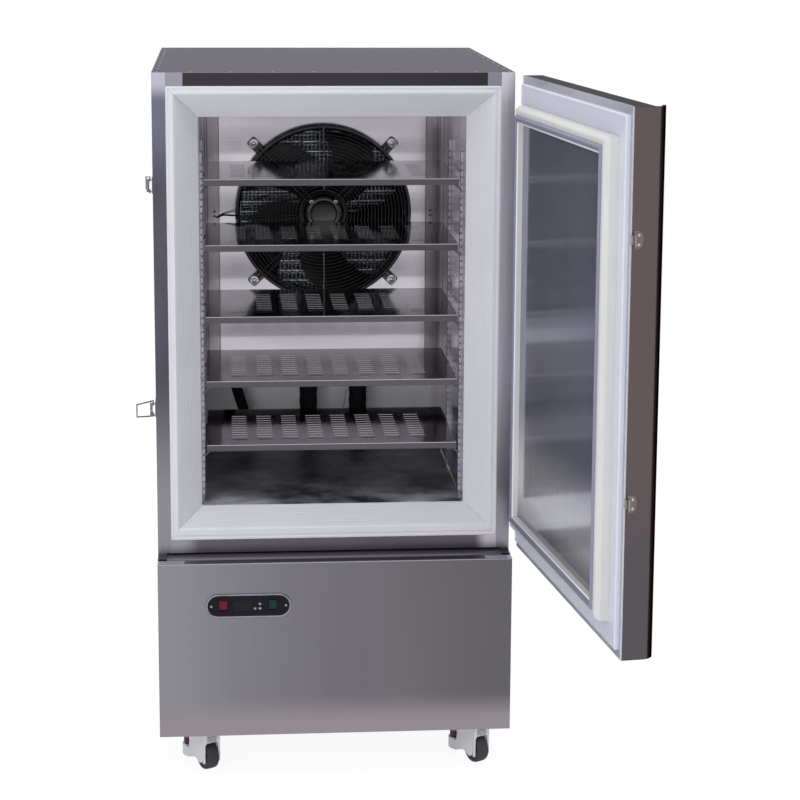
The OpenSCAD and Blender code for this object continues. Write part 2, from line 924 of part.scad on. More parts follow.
module latch_base() {
    slab([0, 2], [4, 4 + latch_l], [-latch_h / 2, latch_h / 2]);
    for (s = [-1, 1])
        translate([0, 0, s * ear_z]) {
            slab([1, pin_a[0]], [pin_a[1] - ear_r, pin_a[1] + ear_r], [-1, 1]);
            along_z(ear_r, [-1, 1], pin_a[0], pin_a[1]);
        }
    along_z(bail_dia / 2, [-ear_z - 1.3, ear_z + 1.3], pin_a[0], pin_a[1]);
}

module latch_bases() {
    color("#b9b9be")
        for (z = latch_zs)
            at_latch(z)
                latch_base();
}

module latch_lever(z) {
    r = bail_dia / 2 + pin_gap;
    t = lever_x[1] - lever_x[0];
    color("#c4c4c9")
        at_latch(z)
            difference() {
                union() {
                    slab(lever_x, [6, latch_l], [-lever_z, lever_z]);
                    for (z = [[-lever_z, t - lever_z], [lever_z - t, lever_z]])
                        slab([4.5, lever_x[1] - t / 2], [7, pin_b[1] + 6], z);
                }
                for (p = [pin_a, pin_b])
                    along_z(r, [-lever_z - 1, lever_z + 1], p[0], p[1]);
            }
}

module upper_latch_lever() latch_lever(latch_zs[0]);
module lower_latch_lever() latch_lever(latch_zs[1]);

module rod(a, b, d) {
    v = b - a;
    translate(a)
        rotate([0, acos(v[2] / norm(v)), atan2(v[1], v[0])])
            cylinder(d = d, h = norm(v));
}

// Turned from pointing back along the lever, outwards and then forwards
module latch_bail(z, swing) {
    ball = bail_dia * 1.06;
    color("#cfcfd4")
        at_latch(z)
            translate([pin_b[0], pin_b[1], 0])
                rotate([0, 0, -swing]) {
                    for (s = [-1, 1]) {
                        rod([0, 0, s * bail_root], [0, bail_l, s * bail_tip], bail_dia);
                        rod([0, 0, s * (lever_z - 1.8)], [0, 0, s * bail_root], bail_dia);
                        translate([0, 0, s * bail_root])
                            sphere(d = ball);
                        translate([0, bail_l, s * bail_tip])
                            sphere(d = ball);
                    }
                    rod([0, bail_l, -bail_tip], [0, bail_l, bail_tip], bail_dia);
                }
}

module upper_latch_bail() latch_bail(latch_zs[0], bail_folded);
module lower_latch_bail() latch_bail(latch_zs[1], bail_swing);

// Hinges

module hinge_fixed_leaves() {
    half = hinge_len / 2;
    mid = hinge_len / 6;
    leaf_y = [front_y + 4, front_y + 50];
    arm_y = [front_y + 2, front_y + 8];
    color("#a4a4aa")
        for (zc = hinge_zs)
            translate([0, 0, zc]) {
                slab([hw, hw + leaf_t], leaf_y, [-half, half]);
                for (z = [[-half, -mid - seat], [mid + seat, half]]) {
                    slab([hw, hinge_x + 4], arm_y, z);
                    slab([hinge_x - 4, hinge_x + 4], [hinge_y, front_y + 6], z);
                    along_z(knuckle_r, z, hinge_x, hinge_y);
                }
                along_z(hinge_pin_r, [-half - 3, half + 3], hinge_x, hinge_y);
            }
}

// Swings what is drawn shut to the place where the open door stands
module on_door() {
    translate([hinge_x, hinge_y, 0])
        rotate([0, 0, open_angle])
            translate([-hinge_x, -hinge_y, 0])
                children();
}

module hinge_door_leaves() {
    mid = hinge_len / 6;
    leaf_in = 3;
    color("#a4a4aa")
        on_door()
            for (zc = hinge_zs)
                translate([0, 0, zc])
                    difference() {
                        union() {
                            slab([door_x, door_x + leaf_t],
                                [door_out + leaf_in, door_in - leaf_in],
                                [-hinge_len / 2, hinge_len / 2]);
                            slab([door_x, hinge_x], [hinge_y - 4, hinge_y + 4], [-mid, mid]);
                            along_z(knuckle_r, [-mid, mid], hinge_x, hinge_y);
                        }
                        along_z(hinge_pin_r + pin_gap, [-mid - 1, mid + 1], hinge_x, hinge_y);
                    }
}

// Door

module door_ring(inset0, inset1, y) {
    r = [-door_x, door_x, door_z0, door_z1];
    difference() {
        plate(grow(r, -inset0), y);
        plate(grow(r, -inset1), [y[0] - 1, y[1] + 1]);
    }
}

module door_skin() {
    r = [-door_x, door_x, door_z0, door_z1];
    color("#736564")
        on_door() {
            plate(r, [door_out, door_out + sheet]);
            door_ring(0, sheet, [door_out, door_in]);
            door_ring(0, door_flange, [door_in - sheet, door_in]);
            translate([-door_x + handle_r, door_out, door_z0])
                intersection() {
                    difference() {
                        cylinder(r = handle_r, h = door_z1 - door_z0, $fn = 96);
                        translate([0, 0, -1])
                            cylinder(r = handle_r - 2, h = door_z1 - door_z0 + 2, $fn = 96);
                    }
                    slab([-handle_r - 1, 0], [-handle_r - 1, sheet / 2], [-1, door_z1 - door_z0 + 1]);
                }
            slab([-door_x + handle_r - 1, -door_x + handle_r + 1],
                [door_out - handle_r, door_out - handle_r + handle_hem],
                [door_z0, door_z1]);
        }
}

module door_foam() {
    r = [-door_x, door_x, door_z0, door_z1];
    color("#e6dcb4")
        on_door() {
            plate(grow(r, -sheet), [door_out + sheet, door_in - sheet]);
            plate(grow(r, -door_flange), [door_in - sheet - 1, door_in]);
            plate(grow(r, -panel_inset), [door_in - 1, door_in + door_panel_h - liner]);
        }
}

module door_frame() {
    color("#d5d8e6")
        on_door()
            door_ring(door_flange, plug_inset, [door_in, door_in + outer_frame_h]);
}

module door_plug() {
    r = [-door_x, door_x, door_z0, door_z1];
    color("#dcdcdc")
        on_door()
            difference() {
                wedge(grow(r, -plug_inset), grow(r, -plug_inset - plug_slant), door_in, door_in + plug_h);
                plate(grow(r, -panel_inset), [door_in - 1, door_in + plug_h + 1]);
            }
}

module door_gasket() {
    color("#8d8d9f")
        on_door()
            door_ring(plug_inset + gasket_inset, plug_inset + gasket_inset + gasket_w,
                [door_in + plug_h, door_in + plug_h + gasket_h]);
}

module door_liner() {
    r = [-door_x, door_x, door_z0, door_z1];
    color("#6b6b78")
        on_door()
            plate(grow(r, -panel_inset), [door_in + door_panel_h - liner, door_in + door_panel_h]);
}

module door_keepers() {
    color("#c4c4c9")
        on_door()
            for (z = latch_zs)
                translate([-door_x, front_y, z]) {
                    slab([-2, 0], [-door_gap - 24, -door_gap - 5], [-latch_h / 2, latch_h / 2]);
                    slab([-13, 0], [-door_gap - 7, -door_gap - 5], [-lever_z, lever_z]);
                    for (s = [-1, 1])
                        along_x(3, [-3.5, 0], -door_gap - 15, s * 9);
                }
}

// Casters

module at_front_caster(s) {
    translate([s * caster_x, front_caster_y, 0])
        children();
}

module turned_caster(s) {
    at_front_caster(s)
        rotate([0, 0, caster_turn])
            children();
}

module caster_plate_solid() {
    half = caster_plate / 2;
    difference() {
        slab([-half, half], [-half, half], [-plate_t, 0]);
        for (x = [-1, 1], y = [-1, 1])
            along_z(4.5, [-5, 1], x * (half - 10), y * (half - 10));
    }
    along_z(king_r, [king_z, -plate_t]);
    along_z(king_r + 5, [king_z, bearing_z - seat]);
}

module wheel_cheeks(y, top) {
    for (s = [0, 1])
        mirror([s, 0, 0]) {
            slab(cheek_x, [y - cheek_r, y + cheek_r], [axle_z, top]);
            along_x(cheek_r, cheek_x, y, axle_z);
        }
    along_x(axle_r, [-cheek_x[0] - 1, cheek_x[0] + 1], y, axle_z);
}

module rear_fork() {
    half = caster_plate / 2;
    slab([-half, half], [-half, half], [-plate_t, 0]);
    slab([-cheek_x[1], cheek_x[1]], [-cheek_r, cheek_r], [-plate_t - 3, -plate_t]);
    wheel_cheeks(0, -plate_t - 1);
}

module caster_plates() {
    color("#c9c9ce")
        for (s = [-1, 1]) {
            at_front_caster(s)
                caster_plate_solid();
            translate([s * caster_x, rear_caster_y, 0])
                rear_fork();
        }
}

module caster_fork() {
    color("#dcdce2") {
        difference() {
            union() {
                slab([-cheek_x[1], cheek_x[1]], [-caster_trail - 20, foot_reach + 4], [crown_z0, crown_z1]);
                along_z(27, [crown_z0, -plate_t - 1]);
                along_z(20, [crown_z0, crown_z1], 0, foot_reach);
                slab([-12, 12],
                    [foot_reach - dial_r - 4.5, foot_reach - dial_r - 0.5],
                    [cup_z[0], crown_z0 + 1]);
                along_z(foot_r + 7, cup_z, 0, foot_reach);
            }
            along_z(king_r + pin_gap, [crown_z0 - 1, 0]);
            along_z(king_r + 6, [crown_z0 - 1, bearing_z]);
            along_z(stem_r + 0.5, [crown_z0 - 1, stem_z + 8], 0, foot_reach);
            along_z(foot_r + seat, [cup_z[0] - 1, cup_z[1] + 1], 0, foot_reach);
        }
        wheel_cheeks(-caster_trail, crown_z0 + 1);
        along_x(cheek_r - 4, [cheek_x[1] - 1, cheek_x[1] + 8], -caster_trail, axle_z);
    }
}

module left_caster_fork() turned_caster(-1) caster_fork();
module right_caster_fork() turned_caster(1) caster_fork();

module wheel_solid() {
    w = wheel_w / 2;
    dish = 4;
    hub = 11;
    tread = 7;
    half = [[axle_r + pin_gap, w], [hub, w], [hub + 2, w - dish], [wheel_r - tread - 2, w - dish],
        [wheel_r - tread, w], [wheel_r - 2.5, w], [wheel_r, w - 4]];
    n = len(half);
    color("#26262a")
        rotate([0, 90, 0])
            rotate_extrude($fn = 96)
                polygon(concat(half, [for (i = [1 : n]) [half[n - i][0], -half[n - i][1]]]));
}

module left_caster_wheel() turned_caster(-1) translate([0, -caster_trail, axle_z]) wheel_solid();
module right_caster_wheel() turned_caster(1) translate([0, -caster_trail, axle_z]) wheel_solid();
module rear_left_wheel() translate([-caster_x, rear_caster_y, axle_z]) wheel_solid();
module rear_right_wheel() translate([caster_x, rear_caster_y, axle_z]) wheel_solid();

module caster_dial() {
    color("#b3121f")
        difference() {
            along_z(dial_r, dial_z, 0, foot_reach);
            along_z(stem_r + pin_gap, [dial_z[0] - 1, dial_z[1] + 1], 0, foot_reach);
            for (a = [0 : 30 : 330])
                translate([(dial_r + 1) * cos(a), foot_reach + (dial_r + 1) * sin(a), 0])
                    along_z(2.2, [dial_z[0] + 6, dial_z[1] - 2]);
        }
}

module left_caster_dial() turned_caster(-1) caster_dial();
module right_caster_dial() turned_caster(1) caster_dial();

module caster_foot() {
    color("#1b1b1d") {
        along_z(foot_r, [foot_z, cup_z[1] - 2], 0, foot_reach);
        along_z(stem_r, [foot_z, stem_z], 0, foot_reach);
    }
}

module left_caster_foot() turned_caster(-1) caster_foot();
module right_caster_foot() turned_caster(1) caster_foot();

side_panels();
top_panel();
rear_panel();
bottom_panel();
breaker_frame();
chamber_liner();
foam_core();
fan_plate();
fan_shroud();
fan_guard();
fan_motor();
evaporator_coil();
shelf_racks();
insulated_pipes();
base_pan();
base_side_panels();
front_panel();
neck_rail();
rear_grille();
compressor();
condenser();
control_bezel();
control_fascia();
latch_bases();
hinge_fixed_leaves();
caster_plates();
evaporator_fan();
condenser_fan();
red_rocker();
green_rocker();
set_key();
up_key();
down_key();
upper_latch_lever();
lower_latch_lever();
upper_latch_bail();
lower_latch_bail();
door_skin();
door_foam();
door_frame();
door_plug();
door_gasket();
door_liner();
door_keepers();
hinge_door_leaves();
shelf_1();
shelf_2();
shelf_3();
shelf_4();
shelf_5();
left_caster_fork();
right_caster_fork();
left_caster_wheel();
right_caster_wheel();
left_caster_dial();
right_caster_dial();
left_caster_foot();
right_caster_foot();
rear_left_wheel();
rear_right_wheel();
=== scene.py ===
import json
import math
from functools import partial

import bmesh
import bpy
from mathutils import Matrix, Vector


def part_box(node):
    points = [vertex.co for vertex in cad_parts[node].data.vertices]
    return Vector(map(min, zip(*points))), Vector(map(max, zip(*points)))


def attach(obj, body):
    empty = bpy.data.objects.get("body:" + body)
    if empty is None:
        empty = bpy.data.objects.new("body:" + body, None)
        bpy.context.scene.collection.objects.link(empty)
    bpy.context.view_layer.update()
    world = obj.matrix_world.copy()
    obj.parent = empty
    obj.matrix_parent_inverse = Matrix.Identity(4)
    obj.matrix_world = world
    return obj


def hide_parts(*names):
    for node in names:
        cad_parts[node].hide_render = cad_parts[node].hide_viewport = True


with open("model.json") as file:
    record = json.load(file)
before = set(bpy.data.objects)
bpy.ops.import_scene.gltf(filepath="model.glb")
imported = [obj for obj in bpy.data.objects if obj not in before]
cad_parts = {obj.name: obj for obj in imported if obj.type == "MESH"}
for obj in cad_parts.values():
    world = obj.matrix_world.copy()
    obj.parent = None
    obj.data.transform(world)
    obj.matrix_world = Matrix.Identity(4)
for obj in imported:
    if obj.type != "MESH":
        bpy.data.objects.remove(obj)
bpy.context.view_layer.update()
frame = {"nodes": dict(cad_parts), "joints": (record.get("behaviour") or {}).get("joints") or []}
scene = bpy.context.scene
mm = 0.001


def spanOf(node):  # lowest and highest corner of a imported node, in mm
    low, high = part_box(node)
    return low / mm, high / mm


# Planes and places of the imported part, in mm, that the pieces below are fitted to
shell = spanOf("side_panels")
frontY, topZ, halfWidth = shell[0].y, shell[1].z, shell[1].x
backY = spanOf("rear_panel")[1].y
base = spanOf("front_panel")
chamber = spanOf("chamber_liner")
joints = {joint["name"]: joint for joint in frame["joints"]}
hingePoint = Vector(joints["door_hinge"]["pos_m"]) / mm
openAngle = -math.radians(joints["door_hinge"]["range_deg"][0])
fanCentre = Vector(joints["evaporator_fan_spin"]["pos_m"]) / mm
plateFace, plateBack = (corner.y for corner in spanOf("fan_plate"))
ringFront, ringBack = (corner.y for corner in spanOf("fan_shroud"))


def linear(code):  # sRGB hex to the linear colour that a shader takes
    parts = [int(code[i:i + 2], 16) / 255 for i in (1, 3, 5)]
    return [p / 12.92 if p <= 0.04045 else ((p + 0.055) / 1.055) ** 2.4 for p in parts] + [1]


def addNode(tree, prefix, kind, inputs=None, **settings):
    # A kind is written without the prefix of its family, which the tree's own "add" puts before it. An input is a
    # value, a socket, or a node whose first output is linked.
    node = tree.nodes.new(kind if "Node" in kind else prefix + kind)
    for name, value in settings.items():
        setattr(node, name, value)
    for name, value in (inputs or {}).items():
        if isinstance(value, bpy.types.Node):
            value = value.outputs[0]
        if isinstance(value, bpy.types.NodeSocket):
            tree.links.new(value, node.inputs[name])
        else:
            node.inputs[name].default_value = value
    return node


def emptyTree(owner):
    owner.use_nodes = True
    owner.node_tree.nodes.clear()
    return partial(addNode, owner.node_tree, "ShaderNode")


def newMaterial(name):
    material = bpy.data.materials.new(name)
    return material, emptyTree(material)


# Camera, matched to corners of the cabinet, the door and the base in the photograph

shot = {
    "focalPixels": 2171.7,
    "imagePixels": 800,
    "sensor": 36,
    "place": (-0.2479, -5.1897, 1.8408),
    "yaw": -4.73,
    "pitch": 10.16,
    "roll": 0.30,
    "shift": -0.12,
    "clip": 60,
}


def makeCamera():
    lens = bpy.data.cameras.new("photoCamera")
    lens.sensor_width = shot["sensor"]
    lens.lens = shot["sensor"] * shot["focalPixels"] / shot["imagePixels"]
    lens.shift_y = shot["shift"]
    lens.clip_end = shot["clip"]
    camera = bpy.data.objects.new("photoCamera", lens)
    scene.collection.objects.link(camera)
    turn = Matrix.Identity(4)
    for degrees, axis in ((shot["yaw"], "Z"), (90 - shot["pitch"], "X"), (shot["roll"], "Z")):
        turn = turn @ Matrix.Rotation(math.radians(degrees), 4, axis)
    camera.matrix_world = Matrix.Translation(shot["place"]) @ turn
    scene.camera = camera


# Studio: a white sweep and soft lamps

studio = {
    "floorZ": -0.102,
    "floorHalf": 13,
    "floorColour": "#f4f4f5",
    "floorGlow": 0.86,
    "glowLevel": 1.07,
    "worldFill": 0.56,
    "lamps": [
        # name, place, aim, size, power
        ("keyLamp", (-2.6, -4.2, 3.4), (0, -0.2, 0.8), 2.2, 62),
        ("fillLamp", (3.2, -4.0, 2.0), (0, -0.2, 0.7), 2.4, 26),
        ("doorwayLamp", (-0.8, -4.6, 0.7), (0, 0, 1.0), 1.6, 42),
        ("topLamp", (0.2, -1.2, 4.4), (0, -0.2, 0.6), 2.6, 60),
        ("backLamp", (0.6, 4.2, 2.4), (0, 0, 0.8), 2.4, 60),
    ],
}


def seenDirectly(add):  # 1 for rays that should meet plain white: from the camera, a mirror or a glass
    path = add("LightPath").outputs
    seen = path["Is Camera Ray"]
    for kind in ("Is Glossy Ray", "Is Transmission Ray"):
        seen = add("Math", {0: seen, 1: path[kind]}, operation="MAXIMUM")
    return seen


def makeStudio():
    scene.view_settings.view_transform = "Standard"
    world = bpy.data.worlds.new("studio")
    add = emptyTree(world)
    level = add("MapRange", {"Value": seenDirectly(add), "To Min": studio["worldFill"]})
    sky = add("Background", {"Color": (1, 1, 1, 1), "Strength": level})
    add("OutputWorld", {"Surface": sky})
    scene.world = world

    material, add = newMaterial("paperSweep")  # matt white paper that keeps the shadow
    share = add("Math", {0: seenDirectly(add), 1: studio["floorGlow"]}, operation="MULTIPLY")
    paper = add("BsdfDiffuse", {"Color": linear(studio["floorColour"])})
    glow = add("Emission", {"Color": (1, 1, 1, 1), "Strength": studio["glowLevel"]})
    sweep = add("MixShader", {0: share, 1: paper, 2: glow})
    add("OutputMaterial", {"Surface": sweep})
    half, z = studio["floorHalf"], studio["floorZ"]
    mesh = bpy.data.meshes.new("studioFloor")
    mesh.from_pydata([(-half, -half, z), (half, -half, z), (half, half, z), (-half, half, z)], [], [(0, 1, 2, 3)])
    mesh.materials.append(material)
    floor = bpy.data.objects.new("studioFloor", mesh)
    scene.collection.objects.link(floor)

    for name, place, aim, size, power in studio["lamps"]:
        lamp = bpy.data.lights.new(name, "AREA")
        lamp.shape = "DISK"
        lamp.size = size
        lamp.energy = power
        holder = bpy.data.objects.new(name, lamp)
        scene.collection.objects.link(holder)
        turn = (Vector(aim) - Vector(place)).to_track_quat("-Z", "Y")
        holder.matrix_world = Matrix.Translation(place) @ turn.to_matrix().to_4x4()
        holder.visible_glossy = False


makeCamera()
makeStudio()
print("camera and studio are set")


# Materials, each named for what the real one is, and for the light painted into it where there is any


def mixColours(add, share, first, second):
    return add("Mix", {0: share, 6: first, 7: second}, data_type="RGBA").outputs[2]


def closeMaterial(add, **inputs):  # the surface's inputs by name, with _ for a space
    surface = add("BsdfPrincipled", {name.replace("_", " "): value for name, value in inputs.items()})
    add("OutputMaterial", {"Surface": surface})


steel = {
    "streakMm": 2.4,
    "alongStreak": 3,
    "cloudAlong": 0.45,
    "cloudAcross": 1.4,
    "roughSwing": 0.06,
    "bump": 0.12,
    "bumpDepth": 0.0003,
}


def brushedSteel(name, colour, patch, grain="Z", rough=0.3, patchSize=2.2, streaks=0.12, bands=(), edge=1.0,
                 metal=1.0):
    # 304 sheet with a satin belt finish: long fine streaks along the rolling direction, slow cloudy patches and a
    # blurred mirror image. The real grain is about 0.2 mm, drawn at 2.4 mm so that it shows in the render.
    # A band is (axis, where it starts, where it is full, colour), in mm, and it goes on beyond its end. A lower
    # edge tint keeps a sheet seen at a flat angle as dark as the real one.
    material, add = newMaterial(name)
    place = add("TexCoord").outputs["Object"]
    noises = []
    for along, across, size in ((steel["alongStreak"], 1000 / steel["streakMm"], 1.0),
                                (steel["cloudAlong"], steel["cloudAcross"], patchSize)):
        scale = [along if axis == grain else across for axis in "XYZ"]
        stretched = add("Mapping", {"Vector": place, "Scale": scale})
        noises.append(add("TexNoise", {"Vector": stretched, "Scale": size, "Detail": 2.0}))
    streak, cloud = noises
    cloudy = add("MapRange", {"Value": cloud, "From Min": 0.35, "From Max": 0.65})
    tint = mixColours(add, cloudy, linear(colour), linear(patch))
    split = add("SeparateXYZ", {"Vector": place}).outputs
    for axis, start, full, shade in bands:
        reach = add("MapRange", {
            "Value": split[axis], "From Min": min(start, full) * mm, "From Max": max(start, full) * mm,
            "To Min": float(start > full), "To Max": float(start < full)}, interpolation_type="SMOOTHSTEP")
        tint = mixColours(add, reach, tint, linear(shade))
    grey, roughness = (add("MapRange", {"Value": streak, "To Min": middle - swing, "To Max": middle + swing})
                       for middle, swing in ((1, streaks), (rough, steel["roughSwing"])))
    brushed = add("VectorMath", {0: tint, "Scale": grey}, operation="SCALE")
    scratch = add("Bump", {"Height": streak, "Strength": steel["bump"], "Distance": steel["bumpDepth"]})
    closeMaterial(add, Base_Color=brushed, Metallic=metal, Roughness=roughness, Specular_Tint=(edge, edge, edge, 1),
                  Normal=scratch)
    return material


def sheenBlotchedFloor(name, dark, light):
    # Stainless floor with painted sheen: light blotches of 100 to 200 mm over a dark tone, rougher where lighter
    material, add = newMaterial(name)
    place = add("TexCoord").outputs["Object"]
    cloud = add("TexNoise", {"Vector": place, "Scale": 5.5, "Detail": 4.0, "Roughness": 0.6})
    patch = add("MapRange", {"Value": cloud, "From Min": 0.38, "From Max": 0.66})
    tint = mixColours(add, patch, linear(dark), linear(light))
    roughness = add("MapRange", {"Value": patch, "To Min": 0.34, "To Max": 0.55})
    closeMaterial(add, Base_Color=tint, Metallic=0.35, Roughness=roughness)
    return material


def clouded(name, colour, shade, cloudScale, rough):  # what mouldings and plated metal share
    material, add = newMaterial(name)
    place = add("TexCoord").outputs["Object"]
    cloud = add("TexNoise", {"Vector": place, "Scale": cloudScale, "Detail": 3.0})
    tint = mixColours(add, cloud, linear(colour), linear(shade))
    roughness = add("MapRange", {"Value": cloud, "To Min": rough[0], "To Max": rough[1]})
    return material, add, place, {"Base_Color": tint, "Roughness": roughness}


def moulded(name, colour, shade, rough=0.35, grainMm=1.2, bump=0.05, coat=0.0, shine=0.5):
    # An extruded or moulded skin: nearly even colour, faint flow marks and a fine grain in the gloss
    material, add, place, look = clouded(name, colour, shade, 6.0, (rough - 0.05, rough + 0.05))
    grain = add("TexNoise", {"Vector": place, "Scale": 1000 / grainMm, "Detail": 1.0})
    skin = add("Bump", {"Height": grain, "Strength": bump, "Distance": 0.0002})
    closeMaterial(add, **look, Specular_IOR_Level=shine, Coat_Weight=coat, Coat_Roughness=0.05, Normal=skin)
    return material


def plated(name, colour, tarnishAndReflection, rough=0.12, spotMm=9, metal=1.0):
    # Bright plate or plain metal with clouds of a second colour, slightly duller where it has been handled; on the
    # latches the dark clouds are painted reflections
    material, add, _, look = clouded(name, colour, tarnishAndReflection, 1000 / spotMm, (rough, rough + 0.12))
    closeMaterial(add, **look, Metallic=metal)
    return material


# Cabinet sheets of one steel, each coloured as light or dark as that face looks, which paints light and shade into
# them, with the bright patches that grinding left on the welded corners
# On the front flanges the bands paint reflections: lighter above 1230 mm and below 860 mm, and the right flange
# painted light; the band from 1435 mm up is a ground corner
sheetSide = brushedSteel("satinStainlessSide", "#5d5a68", "#514e5a", patchSize=6, edge=0.6, bands=[
    ("Z", 1230, 1400, "#74758a"), ("Z", 1435, 1480, "#c2c0cf"), ("X", -1, 1, "#dad8e2"),
    ("Z", 860, 500, "#8c8a93"), ("Y", frontY + 1.2, frontY + 1.8, "#68656c")])
sheetTop = brushedSteel("satinStainlessTop", "#a9a6b3", "#8e8b97", grain="X", rough=0.36, edge=0.5, bands=[
    ("Y", frontY + 1.2, frontY + 1.8, "#545164")])
# The strip above the doorway is painted dark: painted shade on the same steel, with almost no edge shine
sheetTopStrip = brushedSteel("satinStainlessFrontStrip", "#454147", "#3a363b", grain="X", rough=0.36, edge=0.02)
sheetBottom = brushedSteel("satinStainlessSill", "#6b656d", "#5b565c", grain="X", bands=[
    ("X", 318, 350, "#b4b0bb"), ("X", -300, -345, "#98959e")])
# Base sheets: painted reflections make the lower front lighter on the left, darker on the right and pale near the
# bottom, where it mirrors the floor
sheetBase = brushedSteel("satinStainlessBase", "#7c7a82", "#6a686f")
sheetFront = brushedSteel("satinStainlessFront", "#78767c", "#6c6a70", rough=0.32, patchSize=1.6, streaks=0.07,
                          bands=[("X", -60, -400, "#8b8a90"), ("X", 40, 380, "#646266"), ("Z", 96, 20, "#948c93")])
# Chamber: a polished liner, a fan plate that mirrors the doorway, and a floor with blotches of painted sheen
sheetLiner = brushedSteel("polishedStainlessLiner", "#e9e6ee", "#c5c1cb", rough=0.2, patchSize=5, streaks=0.06,
                          metal=0.9)
# Painted light: a near-white, nearly matt skin stands for the bright lower back wall
paintedLightWall = plated("paintedLightBackWall", "#fdfbfd", "#e9e6ea", rough=0.3, spotMm=60, metal=0.1)
# The fan plate is painted darker over its top 60 mm: painted shade
sheetFanPlate = brushedSteel("polishedStainlessFanPlate", "#dcd8e0", "#b9b5bd", grain="X", rough=0.15, patchSize=5,
                             streaks=0.05, metal=0.75, bands=[("Z", 1335, 1392, "#8d8a99")])
sheetStrip = brushedSteel("polishedStainlessStrip", "#8d868d", "#757077", rough=0.2, streaks=0.08)
sheetFloor = sheenBlotchedFloor("stainlessFloorPaintedSheen", "#2c282f", "#cfcbd8")
# Door: painted shade darkens the outside, where it faces away from the lamps, more so near the bottom, on the top
# edge and round the handle, and the brushed panel inside carries a painted reflection of the floor
sheetDoor = brushedSteel(
    "satinStainlessDoor", "#86848b", "#75737a", rough=0.36, patchSize=9, streaks=0.05, edge=0.25, bands=[
        ("Y", -1210, -1232, "#66595a"), ("Z", 900, 560, "#5b565b"), ("X", 555, 559, "#251f1e"),
        ("X", 562, 567, "#151211"), ("Z", 1496.2, 1497.6, "#4f4b56")])
sheetDoorFlange = brushedSteel("satinStainlessFlange", "#b9b8c4", "#a3a2af", rough=0.3, metal=0.35)
sheetDoorPanel = brushedSteel("brushedStainlessDoorPanel", "#8d8fa1", "#797b8c", rough=0.12, streaks=0.2, metal=0.6,
                              bands=[("Z", 790, 640, "#c9c8cf"), ("Z", 610, 540, "#8b8a90")])
# Shelves, neck rail and small steel parts
sheetShelf = brushedSteel("mirrorStainlessShelf", "#a29fa4", "#8e8b91", grain="X", rough=0.1, streaks=0.04)
# The lip is painted darker than the shelf's top: painted shade on the same steel
sheetShelfLip = brushedSteel("foldedStainlessLip", "#5a575d", "#4c494f", grain="X", streaks=0.08, metal=0.7)
sheetRail = brushedSteel("rolledStainlessRail", "#6f6c76", "#5c5963", grain="X", rough=0.22, metal=0.5)
# Bright finish for the ground patches on the ledge's ends, and for the fold along the lower front, where it is a
# painted highlight
groundPatchAndHighlight = plated("groundPatchAndPaintedHighlight", "#b9b6c2", "#8d8a96", rough=0.28, spotMm=14, metal=0.4)
# Latch chrome with strong dark clouds: painted reflections
latchChrome = plated("chromeLatchPaintedReflections", "#a9a6a8", "#4a474b", rough=0.14, spotMm=5)
uprightSteel = plated("pressedStainlessUpright", "#b9b6c0", "#6d6a74", rough=0.16, spotMm=30)
# Plastics and rubbers of the doorway and the door
pvcFrame = moulded("whitePvcExtrusion", "#cacbd1", "#c1c2c8", rough=0.38)
pvcDoor = moulded("coolWhitePvcExtrusion", "#cdd0dd", "#c4c7d5")
absPlug = moulded("creamAbsMoulding", "#c8c8c8", "#bebebe", rough=0.4)
siliconeSeal = moulded("greySiliconeGasket", "#83839a", "#77778c", rough=0.45)
beadSeal = moulded("whiteVinylBead", "#e4e4ec", "#d9d9e2", rough=0.3)
# Fan, coil and pipes
fanEnamel = moulded("blackPowderCoat", "#0e0e11", "#17171b", rough=0.2, coat=0.5)
bladePlastic = moulded("blackNylonBlade", "#0a0a0c", "#121215", rough=0.3)
finSheet = plated("coilFinAluminium", "#d5d9e2", "#a6abb6", rough=0.22)
pipeFoam = moulded("nitrileFoamLagging", "#121214", "#1e1e21", rough=0.75, grainMm=2.5, bump=0.5, shine=0.2)
earthWire = moulded("greenPvcWire", "#1d8a5a", "#177048", rough=0.4)
leadWire = moulded("greyPvcWire", "#a8a6ab", "#96949a", rough=0.4)
blackWire = moulded("blackPvcWire", "#0f0f11", "#19191c", rough=0.4)
# Wires, plates, screws
rackWire = plated("nickelPlatedWire", "#77747c", "#57545b")
# Polished chrome for screws, rivets, eyes and hinge leaves, also laid on thin folds as a painted highlight
brightPlate = plated("chromePlateAndPaintedHighlight", "#d3d3d8", "#b4b4ba", rough=0.08)
rimChrome = plated("polishedChromeRim", "#a5a2aa", "#77747c", rough=0.1, spotMm=22)
zincPlate = plated("yellowishZincPlate", "#b3b0ab", "#948f8a", rough=0.25)
keeperSteel = plated("pressedSteelKeeper", "#84797a", "#6d6263", rough=0.28)
copperScrew = plated("passivatedScrew", "#a85c50", "#83524a", rough=0.3)
# Control panel: black acrylic that shows little shine, and dull, unlit lenses
fasciaAcrylic = moulded("blackAcrylicFascia", "#0d0f17", "#14151d", rough=0.2, bump=0.0, shine=0.12)
displayWindow = moulded("smokedDisplayWindow", "#0a0b12", "#101119", rough=0.1, bump=0.0, shine=0.2)
redLens = moulded("redPolycarbonateRocker", "#611020", "#500c1a", rough=0.3, shine=0.2)
greenLens = moulded("greenPolycarbonateRocker", "#0c3026", "#08241c", rough=0.3, shine=0.2)
keyPlastic = moulded("greyKeyPlastic", "#8f8f98", "#7b7b84", rough=0.3)
